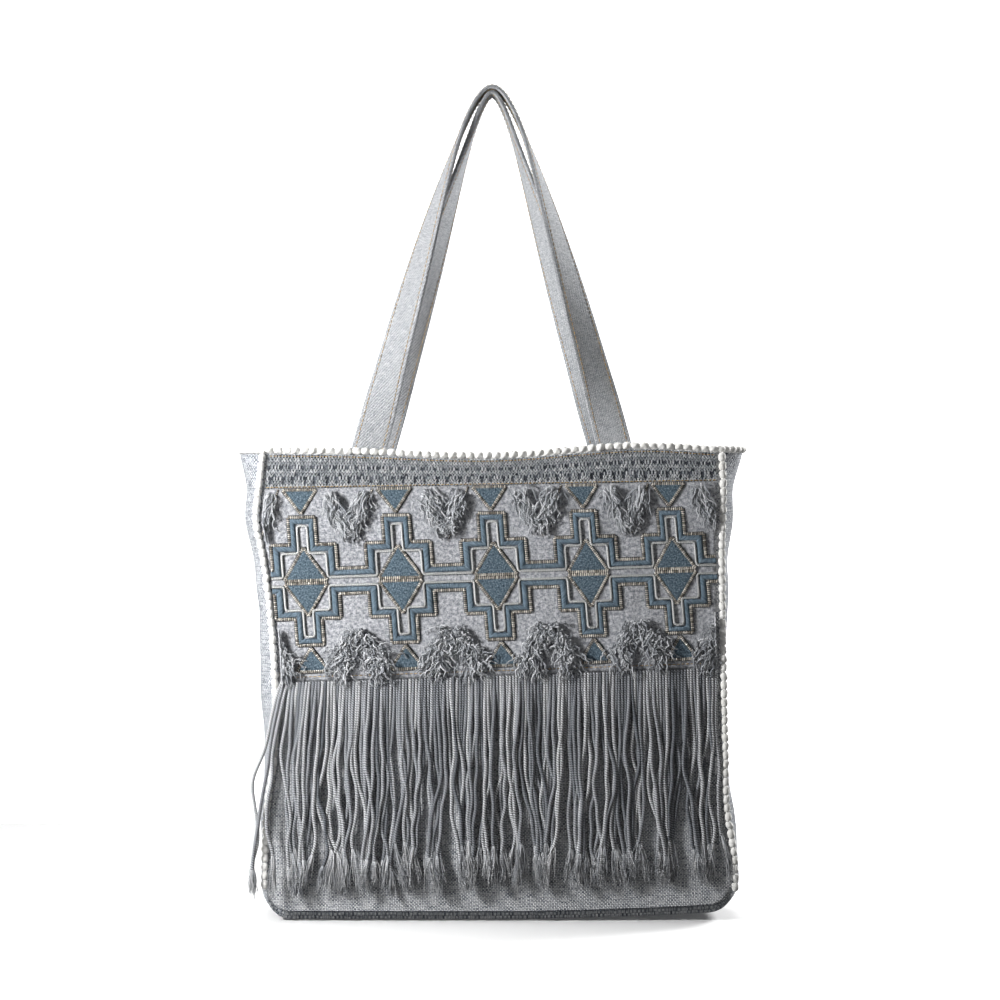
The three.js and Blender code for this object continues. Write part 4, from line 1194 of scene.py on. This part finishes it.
def build_fringe():
    """Two-ply cords in two rows. Each sways more towards its end, a flared tassel of filaments."""
    chance = np.random.default_rng(SEEDS["fringe"])
    many = FRINGE_CORDS
    number = np.arange(many)
    shape = (many, 1)
    jitter = chance.uniform(-FRINGE_JITTER, FRINGE_JITTER, many)
    across = ((number + 0.5 + jitter) / many)[:, None]
    length = FRINGE_LENGTH - FRINGE_RAGGED * chance.uniform(0, 1, shape)
    knot = 1 - chance.uniform(*TASSELS, shape)
    depth = chance.uniform(*FRINGE_DEPTHS, shape)
    tone = chance.uniform(0.05, 0.95, many)
    swings = []
    for high, rates in FRINGE_SWINGS:
        size = chance.uniform(0.3, high, shape)
        rate = chance.uniform(*rates, shape)
        swings.append((size, rate, chance.uniform(0, math.tau, shape)))
    clump = np.cumsum(chance.uniform(0, 1, many) < FRINGE_CLUMP_CHANCE)
    centre = np.array([number[clump == c].mean() for c in clump])
    pitch = BODY_WIDTH / many
    gather = ((centre - number) * pitch * chance.uniform(*FRINGE_GATHER, many))[:, None]

    def path(down, aside, out):
        """Points down every cord, some way to the right of it and out in front."""
        sway = gather * down**2.4
        for size, rate, phase in swings:
            turn = math.tau * rate * down + phase
            sway = sway + size * smooth(0.02, 0.6, down) * np.sin(turn)
        press = mix(FRINGE_PRESS, depth, smooth(0, 0.25, down))
        return hanging(across, down, sway + aside, press + out, length)

    stations, sides = CORD_STEPS
    rope = path(knot * np.linspace(0, 1, stations)[None], 0, 0)
    for half, word in enumerate(("back", "front")):
        row = number % 2 == half
        heap = Heap()
        heap.tubes(rope[row], FRINGE_CORD_RADIUS, sides, tone[row])
        heap.make(f"fringe_{word}", fringe_yarn, "yarn", "fringe")
    stations, sides = TASSEL_STEPS
    t = np.linspace(0, 1, stations)[None]
    start = knot - TASSEL_LAP
    room = 1 - start + TASSEL_END / FRINGE_LENGTH
    tassels = Heap()
    for _ in range(FILAMENTS):
        down = start + room * chance.uniform(*FILAMENT_LENGTHS, shape) * t
        spread = chance.normal(0, FILAMENT_SPREAD, shape) * t * (1.5 - 0.5 * t)
        curl = chance.uniform(-FILAMENT_CURL, FILAMENT_CURL, shape)
        curl = curl * np.sin(math.pi * chance.uniform(0.8, 2, shape) * t)
        out = chance.normal(*FILAMENT_OUT, shape) * t
        shade = np.clip(tone * 0.3 + chance.uniform(0, 0.85, many), 0, 1)
        radii = FILAMENT_RADIUS * (1 - 0.6 * t)
        tassels.tubes(path(down, spread + curl, out), radii, sides, shade)
    tassels.make("fringe_tassels", fray_yarn, "yarn", "fringe")
    # The dark header under the cords' heads is painted shade below the felt's edge and between the
    # heads
    low, t = grid(*HEADER_GRID)
    head = APPLIQUE_FOOT - GAP
    x, low = np.broadcast_arrays(layer_x(t, head), low)
    z = design_height(x, head) - FRINGE_HEAD * (1 - low)
    build_layer("fringe_header_shade", lace_shade_ground, "yarn", "fringe", x, z, GAP + FRINGE_HEAD_THICKNESS)


def strap_stations(face, root, top_height, bend):
    """Centre, width direction and outward direction along a strap, tucked ends included."""
    steps = STRAP_STEPS[0]
    rise = top_height - BODY_HEIGHT
    spread = (root**2 - 2 * bend * rise) / rise**2
    seat = half_depth(BODY_HEIGHT) - CLOTH - GAP - STRAP_THICKNESS / 2
    share = np.linspace(-1, 1, 2 * steps + 1)
    drop = rise * share**2
    side = np.sign(share)
    aside = np.sqrt(spread * drop**2 + 2 * bend * drop)
    slope = (spread * drop + bend) / np.maximum(aside, bend * 0.01)
    run = unit(np.stack([slope, np.zeros_like(slope), -side], -1))
    run[steps] = (1, 0, 0)
    turn = along(TWIST_ROWS, "turn", drop / rise) * math.pi / 2
    centre = np.stack([side * aside, face * seat * drop / rise, top_height - drop], -1)
    tuck = np.linspace(STRAP_TUCK, 0, TUCK_STEPS)[:-1, None]
    low = centre[0] - run[0] * tuck
    centre = np.concatenate([low, centre, (centre[-1] + run[-1] * tuck)[::-1]])
    ends = len(tuck)
    run = np.concatenate([run[:1]] * ends + [run] + [run[-1:]] * ends)
    turn = np.concatenate([turn[:1]] * ends + [turn] + [turn[-1:]] * ends)[:, None]
    inner = np.cross(run, (0, -1, 0))
    away = np.array([0.0, face, 0.0])
    wide = inner * np.cos(turn) + away * np.sin(turn)
    outer = away * np.cos(turn) - inner * np.sin(turn)
    return centre, wide, outer


def build_strap(name, face, root, top_height, bend):
    """A strap of folded cloth, which dips along the stitches near its edges."""
    centre, wide, outer = strap_stations(face, root, top_height, bend)
    length = lengths(centre)
    sides = STRAP_STEPS[1]
    angle = math.tau * (np.arange(sides) + 0.5) / sides
    half_width = STRAP_WIDTH / 2
    half_thickness = STRAP_THICKNESS / 2
    inset = half_width - STRAP_STITCH_INSET
    corners = [np.sign(turn) * np.abs(turn) ** power
               for turn, power in zip((np.cos(angle), np.sin(angle)), STRAP_CORNERS)]
    flat = half_width * corners[0]
    dent = np.exp(-((np.abs(flat) - inset) / STRAP_DENT_WIDTH) ** 2)
    thick = half_thickness * corners[1] * (1 - STRAP_DENT * dent)
    uneven = waves(length, 0 * length, STRAP_SWELL_SIZE, SEEDS["straps"] + face)
    thick = thick[None] * (1 + STRAP_SWELL * uneven[:, None])
    points = centre[:, None] + wide[:, None] * flat[None, :, None]
    points = points + outer[:, None] * thick[..., None]
    rings = grid_faces(len(centre), sides, wrap=True)
    around = flat + 40 * np.sign(corners[1])
    place = np.stack(np.broadcast_arrays(around[None], length[:, None]), -1)
    strap = Heap()
    strap.add(points, rings, place)
    strap.make(f"{name}_cloth", strap_cloth, "strap_cloth", name)
    threads = Heap()
    for edge in (-1, 1):
        for surface in (-1, 1):
            out = outer * surface
            dashes(threads, centre + wide * edge * inset + out * 0.82 * half_thickness, out)
    threads.make(f"{name}_stitches", ochre_thread, "stitching")


def build_straps():
    """The front strap lies over the back one at their top."""
    top = HANG_HEIGHT + STRAP_THICKNESS / 2
    bend = STRAP_THICKNESS / 2 + STRAP_HOOK_RADIUS
    nest = STRAP_THICKNESS + STRAP_NEST_GAP
    build_strap("front_strap", -1, STRAP_ROOT, top + nest, bend + nest)
    build_strap("back_strap", 1, STRAP_ROOT - STRAP_NEST_INSET, top, bend)


def dashes(heap, line, out):
    """Stitches along a line, each bowed a little out of the cloth."""
    places, run = walk(line, STITCH_PITCH)
    many = len(places)
    length = lengths(line)
    away = at_lengths((np.arange(many) + 0.5) * length[-1] / many, length, out)
    stations, sides = STITCH_STEPS
    share = np.linspace(-1, 1, stations)
    bow = STITCH_RADIUS * (1.2 - 1.1 * share**2)
    reach = share[None, :, None] * run[:, None] * STITCH_LENGTH / 2
    paths = places[:, None] + reach + bow[None, :, None] * away[:, None]
    radii = STITCH_RADIUS * (1 - 0.35 * share**4)[None]
    chance = np.random.default_rng(many)
    heap.tubes(paths, radii, sides, chance.uniform(0.2, 0.9, many))


def build_stitches():
    """Ochre topstitching below the mouth and along the edges of the felt, and a dark line of
    painted shade along the base's seam.
    """
    share = np.linspace(0, 1, 200)
    forward = np.broadcast_to(np.array([0.0, -1, 0]), (200, 3))
    x = layer_x(share, BODY_HEIGHT)
    top = mouth_height(x) - LACE_DROP - LACE_STITCH_INSET
    threads = Heap()
    dashes(threads, on_front(x, top, GAP + LACE), forward)
    rows = (
        (APPLIQUE_FOOT + FOOT_STITCH_INSET, GAP + BACKING_FELT),
        (LACE_BASE_HEIGHT + LACE_STITCH_INSET, GAP + LACE),
    )
    for height, lift in rows:
        x = layer_x(share, height)
        dashes(threads, on_front(x, design_height(x, height), lift), forward)
    threads.make("topstitching", ochre_thread, "stitching")
    # Painted shade: a thin dark tube in the crease of the base's seam
    seam = Heap()
    seam.tubes(on_front(panel_x[0], panel_z[0], 0.1)[None], BASE_SEAM_SHADE_RADIUS, ROUND_SIDES)
    seam.make("base_seam_shade", painted_shade, "stitching")


def build_stage():
    """A pale floor that curves up into a backdrop, which lights nothing but itself."""
    floor = -HANG_HEIGHT * 0.001 - STAGE_GAP
    flat, bent = STAGE_STEPS
    angle = np.linspace(0.1, 1.57, bent)
    near = np.linspace(STAGE_NEAR, STAGE_BEND, flat)
    curve = STAGE_BEND + STAGE_BEND_RADIUS * np.sin(angle)
    depth = np.concatenate([near, curve, [STAGE_BEND + STAGE_BEND_RADIUS]])
    rise = np.concatenate([np.zeros(flat), STAGE_BEND_RADIUS * (1 - np.cos(angle)), [STAGE_TOP]])
    ends = (-STAGE_HALF_WIDTH, STAGE_HALF_WIDTH)
    points = [(x, y, floor + z) for y, z in zip(depth, rise) for x in ends]
    mesh = bpy.data.meshes.new("backdrop")
    mesh.from_pydata(points, [], grid_faces(len(depth), 2).tolist())
    mesh.uv_layers.new(name="cloth")
    mesh.polygons.foreach_set("use_smooth", [True] * len(mesh.polygons))
    mesh.polygons.foreach_set("material_index", [int(y > WALL_START) for y in depth[:-1]])
    mesh.materials.append(paper("floor_paper", FLOOR_GLOW))
    mesh.materials.append(paper("wall_paper", WALL_GLOW))
    backdrop = add_object("backdrop", mesh)
    backdrop.visible_diffuse = False


def build_light(name, place, target, size, power):
    """A round lamp that points at its target."""
    data = bpy.data.lights.new(name, "AREA")
    data.shape = "DISK"
    data.size = size
    data.energy = power
    light = add_object(name, data)
    light.location = place
    light.rotation_euler = (Vector(target) - Vector(place)).to_track_quat("-Z", "Y").to_euler()


def build_world():
    """A white world, whose light on the bag is weaker than what the camera sees of it."""
    world = bpy.data.worlds.new("studio")
    world.use_nodes = True
    tree = world.node_tree
    background = tree.nodes["Background"]
    background.inputs["Color"].default_value = (1, 1, 1, 1)
    seen = tree.nodes.new("ShaderNodeLightPath").outputs["Is Camera Ray"]
    strength = tree.nodes.new("ShaderNodeMapRange")
    strength.inputs["To Min"].default_value = WORLD_STRENGTH
    tree.links.new(seen, strength.inputs["Value"])
    tree.links.new(strength.outputs[0], background.inputs["Strength"])
    bpy.context.scene.world = world


def build_camera():
    data = bpy.data.cameras.new("camera")
    data.lens = CAMERA_LENS
    camera = add_object("camera", data)
    camera.location = CAMERA_PLACE
    camera.rotation_euler = (math.pi / 2, 0, 0)
    bpy.context.scene.camera = camera
    bpy.context.scene.view_settings.view_transform = "Standard"


build_world()
for light in LIGHTS:
    build_light(*light)
build_camera()
build_stage()
build_body()
build_trims()
build_lace()
build_applique()
build_bands()
build_white_cords()
build_motifs()
build_beads()
build_tufts()
build_fringe()
build_straps()
build_stitches()
